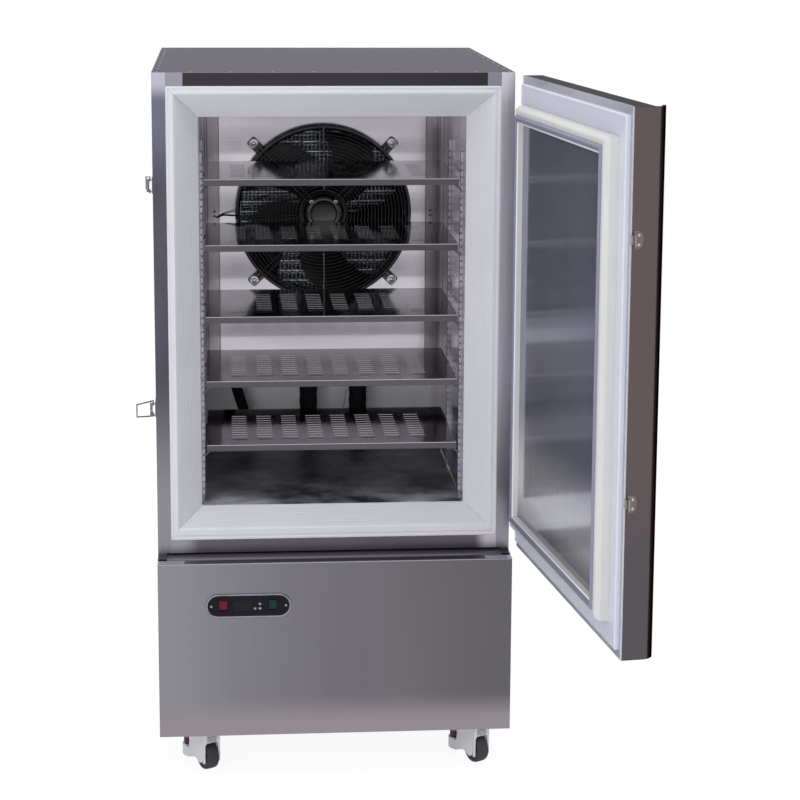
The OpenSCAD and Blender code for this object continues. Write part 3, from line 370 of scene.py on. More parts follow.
# Casters
casterPaint = moulded("paleGreyDieCasting", "#d6d6dc", "#c6c6cd", rough=0.32, grainMm=2.0, bump=0.15, coat=0.2)
wheelNylon = moulded("blackNylonTread", "#232226", "#4b474d", rough=0.6, grainMm=2.5, bump=0.6, shine=0.2)
dialPlastic = moulded("redPolypropyleneDial", "#b4111e", "#9a0d18", rough=0.3)
dialGrip = moulded("blackKnurledGrip", "#171a2e", "#10121d", rough=0.4)
footRubber = moulded("blackRubberFoot", "#19191b", "#232326", rough=0.6, bump=0.3)
# Machinery and insulation
fanAluminium = plated("pressedAluminium", "#b5b5b9", "#9d9da2", rough=0.3)
machineEnamel = moulded("blackStoveEnamel", "#17171a", "#202024", coat=0.3)
foamRigid = moulded("creamPolyurethaneFoam", "#e6dcb4", "#d8cc9e", rough=0.8, grainMm=3, bump=0.5)
print("materials are made")


# Mesh helpers, all in millimetres until a piece is kept


def addBlock(bm, x, y, z):
    corners = [bm.verts.new((a, b, c)) for c in sorted(z) for b in sorted(y) for a in sorted(x)]
    for face in ((0, 2, 3, 1), (4, 5, 7, 6), (0, 1, 5, 4), (1, 3, 7, 5), (3, 2, 6, 7), (2, 0, 4, 6)):
        bm.faces.new([corners[i] for i in face])


def joinLoops(bm, loops, closed=False):
    # Skins matching loops of corners, each with its neighbour. A loop may be one corner repeated.
    for lower, upper in zip(loops, loops[1:] + loops[:1] if closed else loops[1:]):
        for k in range(len(lower)):
            n = (k + 1) % len(lower)
            face = list(dict.fromkeys((lower[k], lower[n], upper[n], upper[k])))
            if len(face) > 2:
                bm.faces.new(face)


def addLoopRing(bm, rows):
    # Closed ring skinned from outlines, each an (outline in X and Z, depth Y)
    joinLoops(bm, [[bm.verts.new((px, y, pz)) for px, pz in outline] for outline, y in rows], closed=True)


def addBar(bm, outline, start, end, axis):
    # Closed bar whose outline lies in the two axes other than its own, in X, Y, Z order
    spots = {"X": lambda p, t: (t, *p), "Y": lambda p, t: (p[0], t, p[1]), "Z": lambda p, t: (*p, t)}
    ends = [[bm.verts.new(spots[axis](p, t)) for p in outline] for t in (start, end)]
    bm.faces.new(ends[0])
    bm.faces.new(ends[1][::-1])
    joinLoops(bm, ends)


def addLathe(bm, profile, centre, axis="Z", steps=48, closed=False):
    # Turns a profile of (radius, distance from centre along the axis) round the axis through centre
    centre = Vector(centre)
    spots = {"X": lambda r, h, a: (h, r * math.cos(a), r * math.sin(a)),
             "Y": lambda r, h, a: (r * math.cos(a), h, r * math.sin(a)),
             "Z": lambda r, h, a: (r * math.cos(a), r * math.sin(a), h)}[axis]
    rows = []
    for radius, height in profile:
        if radius < 1e-6:
            rows.append([bm.verts.new(centre + Vector(spots(0, height, 0)))] * steps)
        else:
            rows.append([bm.verts.new(centre + Vector(spots(radius, height, i * math.tau / steps)))
                         for i in range(steps)])
    joinLoops(bm, rows, closed)


def addTube(bm, points, radius, sides=8):
    # Round rod along points, with mitred bends
    points = [Vector(p) for p in points]
    rings = []
    normal = None
    for i, point in enumerate(points):
        along = (points[min(i + 1, len(points) - 1)] - points[max(i - 1, 0)]).normalized()
        normal = along.orthogonal() if normal is None else normal
        normal = (normal - along * normal.dot(along)).normalized()
        side = along.cross(normal)
        rings.append([bm.verts.new(point + radius * (normal * math.cos(a) + side * math.sin(a)))
                      for a in (k * math.tau / sides for k in range(sides))])
    bm.faces.new(rings[0])
    bm.faces.new(rings[-1][::-1])
    joinLoops(bm, rings)


def arc(centre, radius, start, end, count):
    turns = [math.radians(start + (end - start) * i / count) for i in range(count + 1)]
    return [(centre[0] + radius * math.cos(a), centre[1] + radius * math.sin(a)) for a in turns]


def roundedBox(x, z, radius, count=5):
    # Outline of a rectangle with round corners
    left, right, low, high = x[0] + radius, x[1] - radius, z[0] + radius, z[1] - radius
    spots = ((right, high), (left, high), (left, low), (right, low))
    return [p for k, spot in enumerate(spots) for p in arc(spot, radius, 90 * k, 90 * k + 90, count)]


def moved(outline, across, up):
    return [(p + across, q + up) for p, q in outline]


def shrink(rect, by):
    return (rect[0] + by, rect[1] - by, rect[2] + by, rect[3] - by)


def ringsOf(rect, level, steps):  # rings of a section given as (inset from the rectangle, rise over the level)
    return [(shrink(rect, inset), level + rise) for inset, rise in steps]


def addMitredFrame(bm, rings, gap=0.0):
    # Four mitred bars round an opening. A ring is a rectangle (left, right, low, high) and its depth Y, and the
    # rings go once round the bar's section.
    corners = [[Vector((r[i], y, r[j])) for i, j in ((0, 2), (1, 2), (1, 3), (0, 3))] for r, y in rings]
    for side in range(4):
        toward = (corners[0][(side + 1) % 4] - corners[0][side]).normalized() * gap
        ends = [[bm.verts.new(ring[which % 4] + shift) for ring in corners]
                for which, shift in ((side, toward), (side + 1, -toward))]
        bm.faces.new(ends[0])
        bm.faces.new(ends[1][::-1])
        joinLoops(bm, ends)


def addHoledSheet(bm, rect, centre, radius, near, far, steps, seam=0.0):
    # Upright sheet with a round hole, from depth near to far, and a seam left free along its edge
    left, right, low, high = rect
    x, z = centre
    turns = sorted([k * math.tau / steps for k in range(steps)]
                   + [math.atan2(b - z, a - x) % math.tau for a in (left, right) for b in (low, high)])
    rim = []
    for a in turns:
        across = ((right if math.cos(a) > 0 else left) - x) / (math.cos(a) or 1e-9)
        upward = ((high if math.sin(a) > 0 else low) - z) / (math.sin(a) or 1e-9)
        size = min(abs(across), abs(upward)) - seam
        rim.append((x + size * math.cos(a), z + size * math.sin(a)))
    hole = [(x + radius * math.cos(a), z + radius * math.sin(a)) for a in turns]
    addLoopRing(bm, [(rim, near), (rim, far), (hole, far), (hole, near)])


def addScrew(bm, place, radius, height, axis, outward=1, steps=14):
    # Low domed head with a drive recess, its seat at the place
    dome = [(0, 0.55), (0.28, 0.55), (0.36, 1), (0.75, 0.8), (1, 0.25), (1, 0), (0, 0)]
    addLathe(bm, [(r * radius, h * height * outward) for r, h in dome], place, axis, steps)


def moveNew(bm, start, matrix):  # moves what was added since the count in start
    bm.verts.ensure_lookup_table()
    bmesh.ops.transform(bm, matrix=matrix, verts=bm.verts[start:])


def meshOf(bm, name="template"):
    bmesh.ops.recalc_face_normals(bm, faces=bm.faces)
    mesh = bpy.data.meshes.new(name)
    bm.to_mesh(mesh)
    bm.free()
    return mesh


bevelFrom = 40  # degrees between faces from which an edge is rounded


def keepMesh(name, mesh, material, slot, owns="", body="cabinet", bevel=0.0, smooth=32):
    # Makes a mesh in mm a finished piece that rides on a body and stands for the node it owns
    mesh.transform(Matrix.Scale(mm, 4))
    piece = bpy.data.objects.new(name, mesh)
    scene.collection.objects.link(piece)
    mesh.materials.clear()
    mesh.materials.append(material)
    mesh.polygons.foreach_set("use_smooth", [True] * len(mesh.polygons))
    mesh.set_sharp_from_angle(angle=math.radians(smooth))
    if bevel:
        edge = piece.modifiers.new("edge", "BEVEL")
        edge.width = bevel * mm
        edge.segments = 2
        edge.limit_method = "ANGLE"
        edge.angle_limit = math.radians(bevelFrom)
        edge.harden_normals = True
    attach(piece, body)
    if owns:
        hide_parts(owns)


def keepPiece(name, bm, *finish, **edges):
    keepMesh(name, meshOf(bm, name), *finish, **edges)


def keepOnDoor(name, bm, *finish, **edges):
    # Keeps what was drawn on the shut door, where the open door stands
    swing = Matrix.Rotation(openAngle, 4, "Z")
    moveNew(bm, 0, Matrix.Translation(hingePoint) @ swing @ Matrix.Translation(-hingePoint))
    keepPiece(name, bm, *finish, body="door", **edges)


def keepDoorFrame(name, rings, gap, *finish, **edges):
    bm = bmesh.new()
    addMitredFrame(bm, rings, gap)
    keepOnDoor(name, bm, *finish, **edges)


def dress(material, *names):
    for name in names:
        node = frame["nodes"][name]
        if not node.material_slots:
            node.data.materials.append(material)
        for place in node.material_slots:
            place.material = material


# Geometry Nodes trees for what repeats or follows a path


def newTree(name, **sockets):
    # Gives what adds a node, the tree's inputs, and what closes the tree on its geometry
    tree = bpy.data.node_groups.new(name, "GeometryNodeTree")
    for label, kind in [("Geometry", "Geometry"), *sockets.items(), ("Material", "Material")]:
        tree.interface.new_socket(label, in_out="INPUT", socket_type="NodeSocket" + kind)
    tree.interface.new_socket("Geometry", in_out="OUTPUT", socket_type="NodeSocketGeometry")
    add = partial(addNode, tree, "GeometryNode")
    given = add("NodeGroupInput").outputs

    def close(geometry):
        real = add("RealizeInstances", {"Geometry": geometry})
        painted = add("SetMaterial", {"Geometry": real, "Material": given["Material"]})
        add("NodeGroupOutput", {"Geometry": painted})
        return tree

    return add, given, close


def makeRowTree():
    # Copies of a small mesh in rows and columns
    add, given, close = newTree("rowsOfCopies", Count="Int", Step="Vector", Rows="Int", RowStep="Vector",
                                Start="Vector")
    rows = add("MeshLine", {"Count": given["Rows"], "Start Location": given["Start"], "Offset": given["RowStep"]})
    line = add("MeshLine", {"Count": given["Count"], "Offset": given["Step"]})
    grid = add("InstanceOnPoints", {"Points": rows, "Instance": line})
    flat = add("RealizeInstances", {"Geometry": grid})
    return close(add("InstanceOnPoints", {"Points": flat, "Instance": given["Geometry"]}))


def makeRoundTree():
    # Copies of a small mesh round an axis, drawn first about the axis itself
    add, given, close = newTree("copiesRound", Count="Int", Axis="Vector", First="Float", Centre="Vector")
    points = add("MeshLine", {"Count": given["Count"], "Start Location": given["Centre"], "Offset": (0, 0, 0)})
    step = add("ShaderNodeMath", {0: math.tau, 1: given["Count"]}, operation="DIVIDE")
    angle = add("ShaderNodeMath", {0: add("InputIndex"), 1: step, 2: given["First"]}, operation="MULTIPLY_ADD")
    turn = add("ShaderNodeVectorMath", {0: given["Axis"], "Scale": angle}, operation="SCALE")
    return close(add("InstanceOnPoints", {"Points": points, "Instance": given["Geometry"], "Rotation": turn}))


def makeWireTree():
    # Round wire with rounded bends along the edges of a mesh
    add, given, close = newTree("bentWire", Radius="Float", Bend="Float")
    path = add("MeshToCurve", {"Mesh": given["Geometry"]})
    bent = add("FilletCurve", {"Curve": path, "Count": 6, "Radius": given["Bend"], "Limit Radius": True},
               mode="POLY")
    ring = add("CurvePrimitiveCircle", {"Resolution": 10, "Radius": given["Radius"]})
    return close(add("CurveToMesh", {"Curve": bent, "Profile Curve": ring, "Fill Caps": True}))


def makeGuardTree():
    # Concentric wire rings about the Y axis
    add, given, close = newTree("guardRings", Count="Int", Inner="Float", Pitch="Float", Radius="Float",
                                Centre="Vector")
    points = add("MeshLine", {"Count": given["Count"], "Start Location": given["Centre"], "Offset": (0, 0, 0)})
    size = add("ShaderNodeMath", {0: add("InputIndex"), 1: given["Pitch"], 2: given["Inner"]},
               operation="MULTIPLY_ADD")
    circle = add("CurvePrimitiveCircle", {"Resolution": 96, "Radius": 1.0})
    rings = add("InstanceOnPoints", {"Points": points, "Instance": circle, "Rotation": (math.pi / 2, 0, 0),
                                     "Scale": size})
    real = add("RealizeInstances", {"Geometry": rings})
    section = add("CurvePrimitiveCircle", {"Resolution": 6, "Radius": given["Radius"]})
    return close(add("CurveToMesh", {"Curve": real, "Profile Curve": section}))


rowTree = makeRowTree()
roundTree = makeRoundTree()
wireTree = makeWireTree()
guardTree = makeGuardTree()


def grow(tree, template=None, **values):
    # Runs a tree once on a template and gives its result as a plain mesh
    holder = bpy.data.objects.new("grower", template or bpy.data.meshes.new("nothing"))
    scene.collection.objects.link(holder)
    modifier = holder.modifiers.new("grow", "NODES")
    modifier.node_group = tree
    for item in tree.interface.items_tree:
        if item.in_out == "INPUT" and item.name in values:
            value = values[item.name]
            if item.socket_type == "NodeSocketFloat":
                value = float(value)
            if item.socket_type == "NodeSocketVector":
                value = [float(part) for part in value]
            modifier[item.identifier] = value
    mesh = bpy.data.meshes.new_from_object(holder.evaluated_get(bpy.context.evaluated_depsgraph_get()))
    bpy.data.objects.remove(holder)
    return mesh


def keepWires(name, paths, radius, bend, material, slot):
    mesh = bpy.data.meshes.new("wirePath")
    points, edges = [], []
    for path in paths:
        edges += [(len(points) + i, len(points) + i + 1) for i in range(len(path) - 1)]
        points += [tuple(p) for p in path]
    mesh.from_pydata(points, edges, [])
    keepMesh(name, grow(wireTree, mesh, Radius=radius, Bend=bend, Material=material), material, slot, smooth=60)


def keepRows(name, template, count, step, start, material, slot, owns="", rows=1, rowStep=(0, 0, 0)):
    mesh = grow(rowTree, template, Count=count, Step=step, Rows=rows, RowStep=rowStep, Start=start,
                Material=material)
    keepMesh(name, mesh, material, slot, owns, smooth=40)


print("trees are ready")


# Cabinet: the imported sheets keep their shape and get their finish, and rivets hold the top sheet

rivets = {
    "radius": 2.6,
    "height": 1.2,
    "sidePitch": 96,
    "endPitch": 90,
    "endMargin": 60,
    "edgeIn": 12,
}


def finishCabinet():
    dress(sheetSide, "side_panels", "rear_panel")
    dress(sheetTop, "top_panel")
    bm = bmesh.new()  # satin skin of the strip above the doorway, between the ground corners, that carries its painted shade
    addBlock(bm, (-332, 339), (frontY - 0.25, frontY + 0.5), (spanOf("breaker_frame")[1].z + 0.5, topZ - 0.6))
    keepPiece("frontStrip", bm, sheetTopStrip, "stainless_top")
    dress(sheetBottom, "bottom_panel")
    dress(sheetLiner, "chamber_liner")
    dress(foamRigid, "foam_core", "door_foam")
    dress(sheetBase, "base_side_panels", "rear_grille", "base_pan")
    dress(sheetFront, "front_panel")
    dress(sheetDoorPanel, "door_liner")

    bm = bmesh.new()
    addScrew(bm, (0, 0, 0), rivets["radius"], rivets["height"], "Z", steps=10)
    head = meshOf(bm)
    inset, pitch = rivets["edgeIn"], rivets["endPitch"]
    deep = backY - frontY - 2 * inset
    y, z = frontY + inset, topZ - 0.1
    count = round(deep / rivets["sidePitch"])
    keepRows("sideRivets", head, count + 1, (0, deep / count, 0), (inset - halfWidth, y, z), brightPlate,
             "stainless_top", rows=2, rowStep=(2 * (halfWidth - inset), 0, 0))
    count = int((halfWidth - rivets["endMargin"]) * 2 / pitch) + 1
    keepRows("endRivets", head, count, (pitch, 0, 0), (-pitch * (count - 1) / 2, y, z), brightPlate,
             "stainless_top", rows=2, rowStep=(0, deep, 0))


finishCabinet()


# Chamber: fan plate between two side strips, and a floor with painted sheen and a bright fold along each wall as a
# painted highlight

plate = {
    "strip": 45,
    "seam": 1,
    "hole": 209,
    "screwDrops": (14, 24, 278, 290, 668, 680),
    "foldWidth": 3,
    "foldLines": ((28, 3), (34, 2)),
}


def makeChamberSheets():
    low, high = spanOf("fan_plate")
    edge = high.x - plate["strip"]
    bm = bmesh.new()
    addHoledSheet(bm, (-edge, edge, low.z, high.z), (0, fanCentre.z), plate["hole"], plateFace, plateBack, 96,
                  plate["seam"] / 2)
    keepPiece("fanPlate", bm, sheetFanPlate, "stainless_liner", "fan_plate", smooth=20)
    bm, screws, folds = bmesh.new(), bmesh.new(), bmesh.new()
    for side in (-1, 1):  # strips with their inner edge folded back
        addBlock(bm, (side * (edge + 0.5), side * (high.x - 0.4)), (plateFace, plateBack), (low.z, high.z))
        addBlock(bm, (side * (edge + 0.5), side * (edge + 2)), (plateFace - 3, plateFace), (low.z, high.z))
        for line, wide in plate["foldLines"]:  # rolled folds in a darker plate: painted shade that reads as dark upright lines
            addBlock(folds, (side * (edge + line), side * (edge + line + wide)), (plateFace - 2, plateFace),
                     (low.z, high.z))
        for drop in plate["screwDrops"]:
            addScrew(screws, (side * (edge + 12), plateFace, high.z - drop), 3, 1.4, "Y", -1)
    keepPiece("fanPlateStrips", bm, sheetStrip, "stainless_liner", bevel=0.3)
    keepPiece("stripFolds", folds, rackWire, "stainless_liner", bevel=0.4)
    keepPiece("fanPlateScrews", screws, fanEnamel, "black_enamel", smooth=50)

    floor, wall, fold = chamber[0].z + 1.2, chamber[1].x - 1.3, plate["foldWidth"]
    near, far = chamber[0].y + 1, chamber[1].y - 2
    # The lower back wall gets a skin of painted light, the floor its painted sheen
    for name, depth, rise, finish in (("backWallSkin", (far + 0.4, far), (floor + 1, low.z + 40), paintedLightWall),
                                      ("chamberFloor", (near, far), (floor, floor + 0.5), sheetFloor)):
        bm = bmesh.new()
        addBlock(bm, (-wall, wall), depth, rise)
        keepPiece(name, bm, finish, "stainless_liner")
    # A bright fold along each wall: painted highlight
    bm = bmesh.new()
    for side in (-1, 1):
        corner = [(side * (wall - fold), 0), (side * wall, fold), (side * wall, 0)]
        addBar(bm, moved(corner, 0, floor + 0.6), near, plateFace, "Y")
    keepPiece("floorFolds", bm, brightPlate, "stainless_liner")


# White frame round the doorway, extruded with a ribbed throat and mitred at the corners

doorway = {
    "lip": 17,
    "sillLip": 25,
    "lipThick": 4.5,
    "wall": 5,
    "ribs": 9,
    "ribDepth": 0.7,
    "ribShares": ((0.12, 0), (0.2, 1), (0.72, 1), (0.8, 0)),
    "mitreGap": 0.25,
}


def makeDoorwayFrame():
    low, high = spanOf("breaker_frame")
    outer = (low.x, high.x, low.z, high.z)
    throat = shrink((chamber[0].x, chamber[1].x, chamber[0].z, chamber[1].z), 1.2)
    lip, thick, wall = doorway["lip"], doorway["lipThick"], doorway["wall"]
    inner = (outer[0] + lip, outer[1] - lip, outer[2] + doorway["sillLip"], outer[3] - lip)
    front, back = low.y, high.y
    rings = ringsOf(outer, front, ((0, thick), (0, 1.2), (1.2, 0), (5, 0), (6, 1), (10, 1), (11, 0)))
    rings += ringsOf(inner, front, ((-1, 0), (0, 0.8)))
    for i in range(doorway["ribs"]):  # shallow grooves along the slanted throat
        for share, dip in doorway["ribShares"]:
            step = 0.1 + (i + share) * 0.84 / doorway["ribs"]
            rect = [p + (q - p) * step for p, q in zip(inner, throat)]
            rings.append((shrink(rect, -dip * doorway["ribDepth"]), front + (back - front) * step))
    rings += ringsOf(throat, back, ((0, 0), (-wall, 0)))
    rings += ringsOf(inner, front, ((-wall, thick + 1), (-wall, thick)))
    bm = bmesh.new()
    addMitredFrame(bm, rings, doorway["mitreGap"])
    keepPiece("doorwayFrame", bm, pvcFrame, "white_moulding", "breaker_frame", smooth=20)


makeDoorwayFrame()
print("cabinet is finished")


# Evaporator fan: ring, guard, motor plate, hub and blades

fan = {
    "ringRadius": 216,
    "throatRadius": 205,
    "footRadius": 240,
    "eyeRadius": 11,
    "guardRings": 20,
    "guardInner": 51,
    "guardOuter": 211,
    "guardWire": 1.0,
    "spokeWire": 1.5,
    "spokePair": 6,
    "plateRadius": 45,
    "screwRadius": 42,
    "hubRadius": 60,
    "bladeReach": 200,
    "blades": 5,
    "firstBlade": 0.34,
    "bladeRows": 12,
}


def onFanAxis(y):
    return Vector((fanCentre.x, y, fanCentre.z))


def quarters():  # the four diagonal directions round the fan's centre, each with its sideways direction
    for quarter in range(4):
        turn = math.radians(45 + 90 * quarter)
        out = Vector((math.cos(turn), 0, math.sin(turn)))
        yield turn, out, Vector((-math.sin(turn), 0, math.cos(turn)))


def makeFanRing():
    outer, inner, reach = fan["ringRadius"], fan["throatRadius"], fan["footRadius"]
    deep = ringBack - ringFront
    bm = bmesh.new()
    profile = [(outer - 0.8, 4), (outer, 2.4), (outer - 0.4, 0.8), (outer - 1.8, 0), (inner + 5, 0),
               (inner + 2, 1.6), (inner, 6), (inner, deep), (inner + 2.6, deep), (inner + 2.6, 7), (inner + 4, 4)]
    addLathe(bm, profile, onFanAxis(ringFront), "Y", 96, closed=True)
    for turn, _, _ in quarters():
        start = len(bm.verts)
        addBar(bm, roundedBox((inner + 2, reach + 13), (-13, 13), 6), plateFace - 6, plateFace - 0.2, "Y")
        moveNew(bm, start, Matrix.Translation(onFanAxis(0)) @ Matrix.Rotation(-turn, 4, "Y"))
    keepPiece("fanRing", bm, fanEnamel, "black_enamel", "fan_shroud", smooth=40)

    bm = bmesh.new()  # bolts in the feet, and the wire eyes round them that hold the guard
    for _, out, side in quarters():
        spot = onFanAxis(plateFace) + out * reach
        addLathe(bm, [(0, -14), (5, -14), (6, -13), (6, -9), (9, -8.6), (9, -6), (0, -6)], spot, "Y", 16)
        eye = [spot + out * p + side * q + Vector((0, -11, 0))
               for p, q in arc((0, 0), fan["eyeRadius"], 155, -155, 24)]
        leg = onFanAxis(ringFront - 2) + out * (outer - 5)
        addTube(bm, [leg + side * 4.6] + eye + [leg - side * 4.6], 1.8)
    keepPiece("guardEyes", bm, brightPlate, "bright_steel", smooth=50)


def makeGuard():
    centre = onFanAxis(spanOf("fan_guard")[0].y + 1.5)
    outer = fan["guardOuter"]
    pitch = (outer - fan["guardInner"]) / (fan["guardRings"] - 1)
    rings = grow(guardTree, Count=fan["guardRings"], Inner=fan["guardInner"], Pitch=pitch, Radius=fan["guardWire"],
                 Centre=centre, Material=fanEnamel)
    keepMesh("guardRings", rings, fanEnamel, "black_enamel", "fan_guard", smooth=70)
    paths = []
    for _, out, side in quarters():
        for offset in (-fan["spokePair"], fan["spokePair"]):
            foot = centre + side * offset + Vector((0, 2.4, 0))
            paths.append([foot + out * (fan["plateRadius"] - 4), foot + out * outer,
                          foot + out * (outer + 1) + Vector((0, 4, 0))])
    keepWires("guardSpokes", paths, fan["spokeWire"], 1.5, fanEnamel, "black_enamel")


def makeFanMotor():
    centre, radius = onFanAxis(ringFront), fan["plateRadius"]
    end = spanOf("fan_motor")[1].y - ringFront
    bm = bmesh.new()
    addLathe(bm, [(0, -5.5), (28, -5.5), (31, -6.5), (33, -8.6), (37, -9), (radius - 4, -7.6), (radius, -5),
                  (radius, 1), (radius - 6, 1.4), (radius - 6, 13), (radius - 8, 14), (6, 14), (6, end), (0, end)],
             centre, "Y", 64)
    keepPiece("fanMotor", bm, fanEnamel, "black_enamel", "fan_motor", smooth=35)
    bm, washers = bmesh.new(), bmesh.new()
    for _, out, _ in quarters():
        spot = centre + out * fan["screwRadius"]
        addLathe(washers, [(3.2, -5), (6, -5), (6, -9), (5, -10), (3.2, -10)], spot, "Y", 16, closed=True)
        addLathe(bm, [(0, -5), (3, -5), (3, -9.6), (0, -9.6)], spot, "Y", 12)
    keepPiece("motorScrews", bm, copperScrew, "bright_steel", smooth=50)
    keepPiece("motorWashers", washers, brightPlate, "bright_steel", smooth=50)


def makeBlades():
    hub = fan["hubRadius"]
    root, reach = hub - 6, fan["bladeReach"]
    bm = bmesh.new()
    layers = []
    for i in range(fan["bladeRows"] + 1):
        share = i / fan["bladeRows"]
        radius = root + (reach - root) * share
        chord = 62 + 82 * math.sin(math.pi * share * 0.56)
        slope = math.radians(60 + 14 * share)
        sweep = math.radians(-6 + 26 * share * share)
        section = []
        for side, k in [(1, k) for k in range(9)] + [(-1, k) for k in range(8, -1, -1)]:
            along = (k / 8 - 0.5) * chord
            thick = (1.6 - 0.7 * share) * math.sin(math.pi * (0.04 + 0.115 * k))
            lift = 5 * (1 - (k / 4 - 1) ** 2) + thick * side
            angle = (along * math.sin(slope) + lift * math.cos(slope)) / radius + sweep
            depth = lift * math.sin(slope) - along * math.cos(slope)
            section.append(bm.verts.new((radius * math.cos(angle), depth, radius * math.sin(angle))))
        layers.append(section)
    joinLoops(bm, layers)
    bm.faces.new(layers[0])
    bm.faces.new(layers[-1][::-1])
    blades = grow(roundTree, meshOf(bm), Count=fan["blades"], Axis=(0, 1, 0), First=fan["firstBlade"],
                  Centre=onFanAxis(plateFace - 6), Material=bladePlastic)
    finish = (bladePlastic, "black_plastic")
    keepMesh("fanBlades", blades, *finish, "evaporator_fan", "evaporator_fan", smooth=50)
    front, back = ringFront + 17, plateFace + 26
    bm = bmesh.new()
    addLathe(bm, [(6.2, front + 1), (hub - 10, front + 1), (hub - 8, front), (hub - 3, front), (hub, front + 3),
                  (hub, back - 2), (hub - 2, back), (6.2, back)], onFanAxis(0), "Y", 64, closed=True)
    keepPiece("fanHub", bm, *finish, body="evaporator_fan", smooth=40)


makeChamberSheets()
makeFanRing()
makeGuard()
makeFanMotor()
makeBlades()


# Finned coil behind the fan plate

coil = {
    "halfWidth": 215,
    "finPitch": 10,
    "finThick": 0.7,
    "waves": 24,
    "tubeRadius": 6,
    "tubePitch": 25,
    "rows": (22, 60, 100),
    "bendRadius": 21,
    "bendPitch": 100,
}


def makeCoil():
    low, high = spanOf("evaporator_coil")
    half, radius, pitch = coil["halfWidth"], coil["tubeRadius"], coil["tubePitch"]
    y0, y1 = low.y + 5, high.y - 5
    z0, z1 = low.z + 8, chamber[1].z - 10
    aluminium = (finSheet, "fin_aluminium")
    count = int(2 * half / coil["finPitch"])
    bm = bmesh.new()
    waves = coil["waves"]  # a fin is a thin sheet with a rippled front edge, so that the edge glints
    ripple = [(y0 + 2 + 1.5 * (i % 2), z0 + (z1 - z0) * i / waves) for i in range(waves + 1)]
    addBar(bm, ripple + [(y1 - 2, z1), (y1 - 2, z0)], -coil["finThick"] / 2, coil["finThick"] / 2, "X")
    keepRows("coilFins", meshOf(bm), count + 1, ((2 * half - 4) / count, 0, 0), (2 - half, 0, 0), *aluminium,
             "evaporator_coil")
    bm = bmesh.new()
    addLathe(bm, [(0, -half), (radius, -half), (radius, half), (0, half)], (0, 0, 0), "X", 10)
    tube = meshOf(bm)
    for row, depth in enumerate(coil["rows"]):
        keepRows("coilTubes%d" % (row + 1), tube, int((z1 - z0 - 30) / pitch), (0, 0, pitch),
                 (0, y0 + depth, z0 + 18 + (row % 2) * pitch / 2), *aluminium)
    ends, bends = bmesh.new(), bmesh.new()
    for side in (-1, 1):
        addBlock(ends, (side * (half + 0.2), side * (half + 2)), (low.y, high.y), (low.z, chamber[1].z - 1.4))
        for y in (y0 + 40, y1 - 40):
            for i in range(6):
                turn = arc((0, z0 + 40 + i * coil["bendPitch"]), coil["bendRadius"], -90, 90, 10)
                addTube(bends, [(side * (half + 2 + p), y, z) for p, z in turn], radius, 10)
    keepPiece("coilEnds", ends, sheetLiner, "fin_aluminium", bevel=0.3)
    keepPiece("coilBends", bends, *aluminium, smooth=50)


makeCoil()
print("fan and coil are made")


# Pipes under the fan plate, wires and the temperature probe

plumbing = {
    "pipeRadius": 23,
    "liquidX": -32,
    "suctionX": 95,
    "depth": 267,
    "rings": 24,
    "tie": (6, 7),
    "drainRadius": 13.5,
    "drainFoot": (-201, 593),
    "drainDepth": 292,
    "drainLean": 17,
}


def makePipes():
    low, high = spanOf("insulated_pipes")
    floor, top = low.z, high.z
    radius, y, rings = plumbing["pipeRadius"], plumbing["depth"], plumbing["rings"]
    bm = bmesh.new()
    for x, tied in ((plumbing["liquidX"], True), (plumbing["suctionX"], False)):
        profile = [(0, floor), (radius - 1, floor)]
        for i in range(rings + 1):  # foam sleeves bulge between their ties
            swell = -5 if tied and i in plumbing["tie"] else 0.7 * math.sin(i * 1.9) - 0.8
            profile.append((radius + swell, floor + 1 + (top - floor - 2) * i / rings))
        addLathe(bm, profile + [(radius - 1, top), (0, top)], (x, y, 0), "Z", 32)
    x, z = plumbing["drainFoot"]
    lean = math.tan(math.radians(plumbing["drainLean"]))
    addTube(bm, [(x + lean * (z - height), plumbing["drainDepth"], height) for height in (floor, z, top)],
            plumbing["drainRadius"], 20)
    keepPiece("laggedPipes", bm, pipeFoam, "pipe_insulation", "insulated_pipes", smooth=45)
    for name, radius, wire, path in (
            ("earthLead", 1.6, earthWire, ((-10, 512), (8, 526), (40, 545), (62, 572), (74, 574))),
            ("greyLead", 1.4, leadWire, ((-9, 552), (10, 556), (36, 568), (58, 590), (66, 640)))):
        keepWires(name, [[(x, y - 8, z) for x, z in path]], radius, 20, wire, "black_plastic")


def makeLeads():
    front = spanOf("fan_guard")[0].y - 1
    start = onFanAxis(front)
    reach = plateFace - front  # each point is its shift from the middle of the guard's front
    for name, paths, radius, bend, wire in (
            ("fanLeads", [[(-60, 0, -4), (-120, -1, -2), (-170, -1, -6), (-214, 0, -3), (-246, reach - 12, -6),
                           (-262, reach - 1.5, -14)],
                          [(-60, 0, -8), (-110, -1, -15), (-160, -1, -12), (-216, 0, -9)]], 2.2, 14, blackWire),
            ("probeLead", [[(0, 0, -96), (1, -0.5, -150), (-1, 0, -196), (0, 5, -214)],
                           [(0, 4, 214), (0, 0, 200), (0, 0, 62)]], 1.3, 12, leadWire)):
        keepWires(name, [[start + Vector(p) for p in path] for path in paths], radius, bend, wire, "black_plastic")


makePipes()
makeLeads()


# Racks: slotted uprights on the side walls and bent wires under the shelves

rack = {
    "width": 16,
    "depth": 7,
    "notchPitch": 16,
    "postDepths": (-300, -38),
    "wireRadius": 2.6,
    "wireInner": 268,
    "hookDown": 24,
}


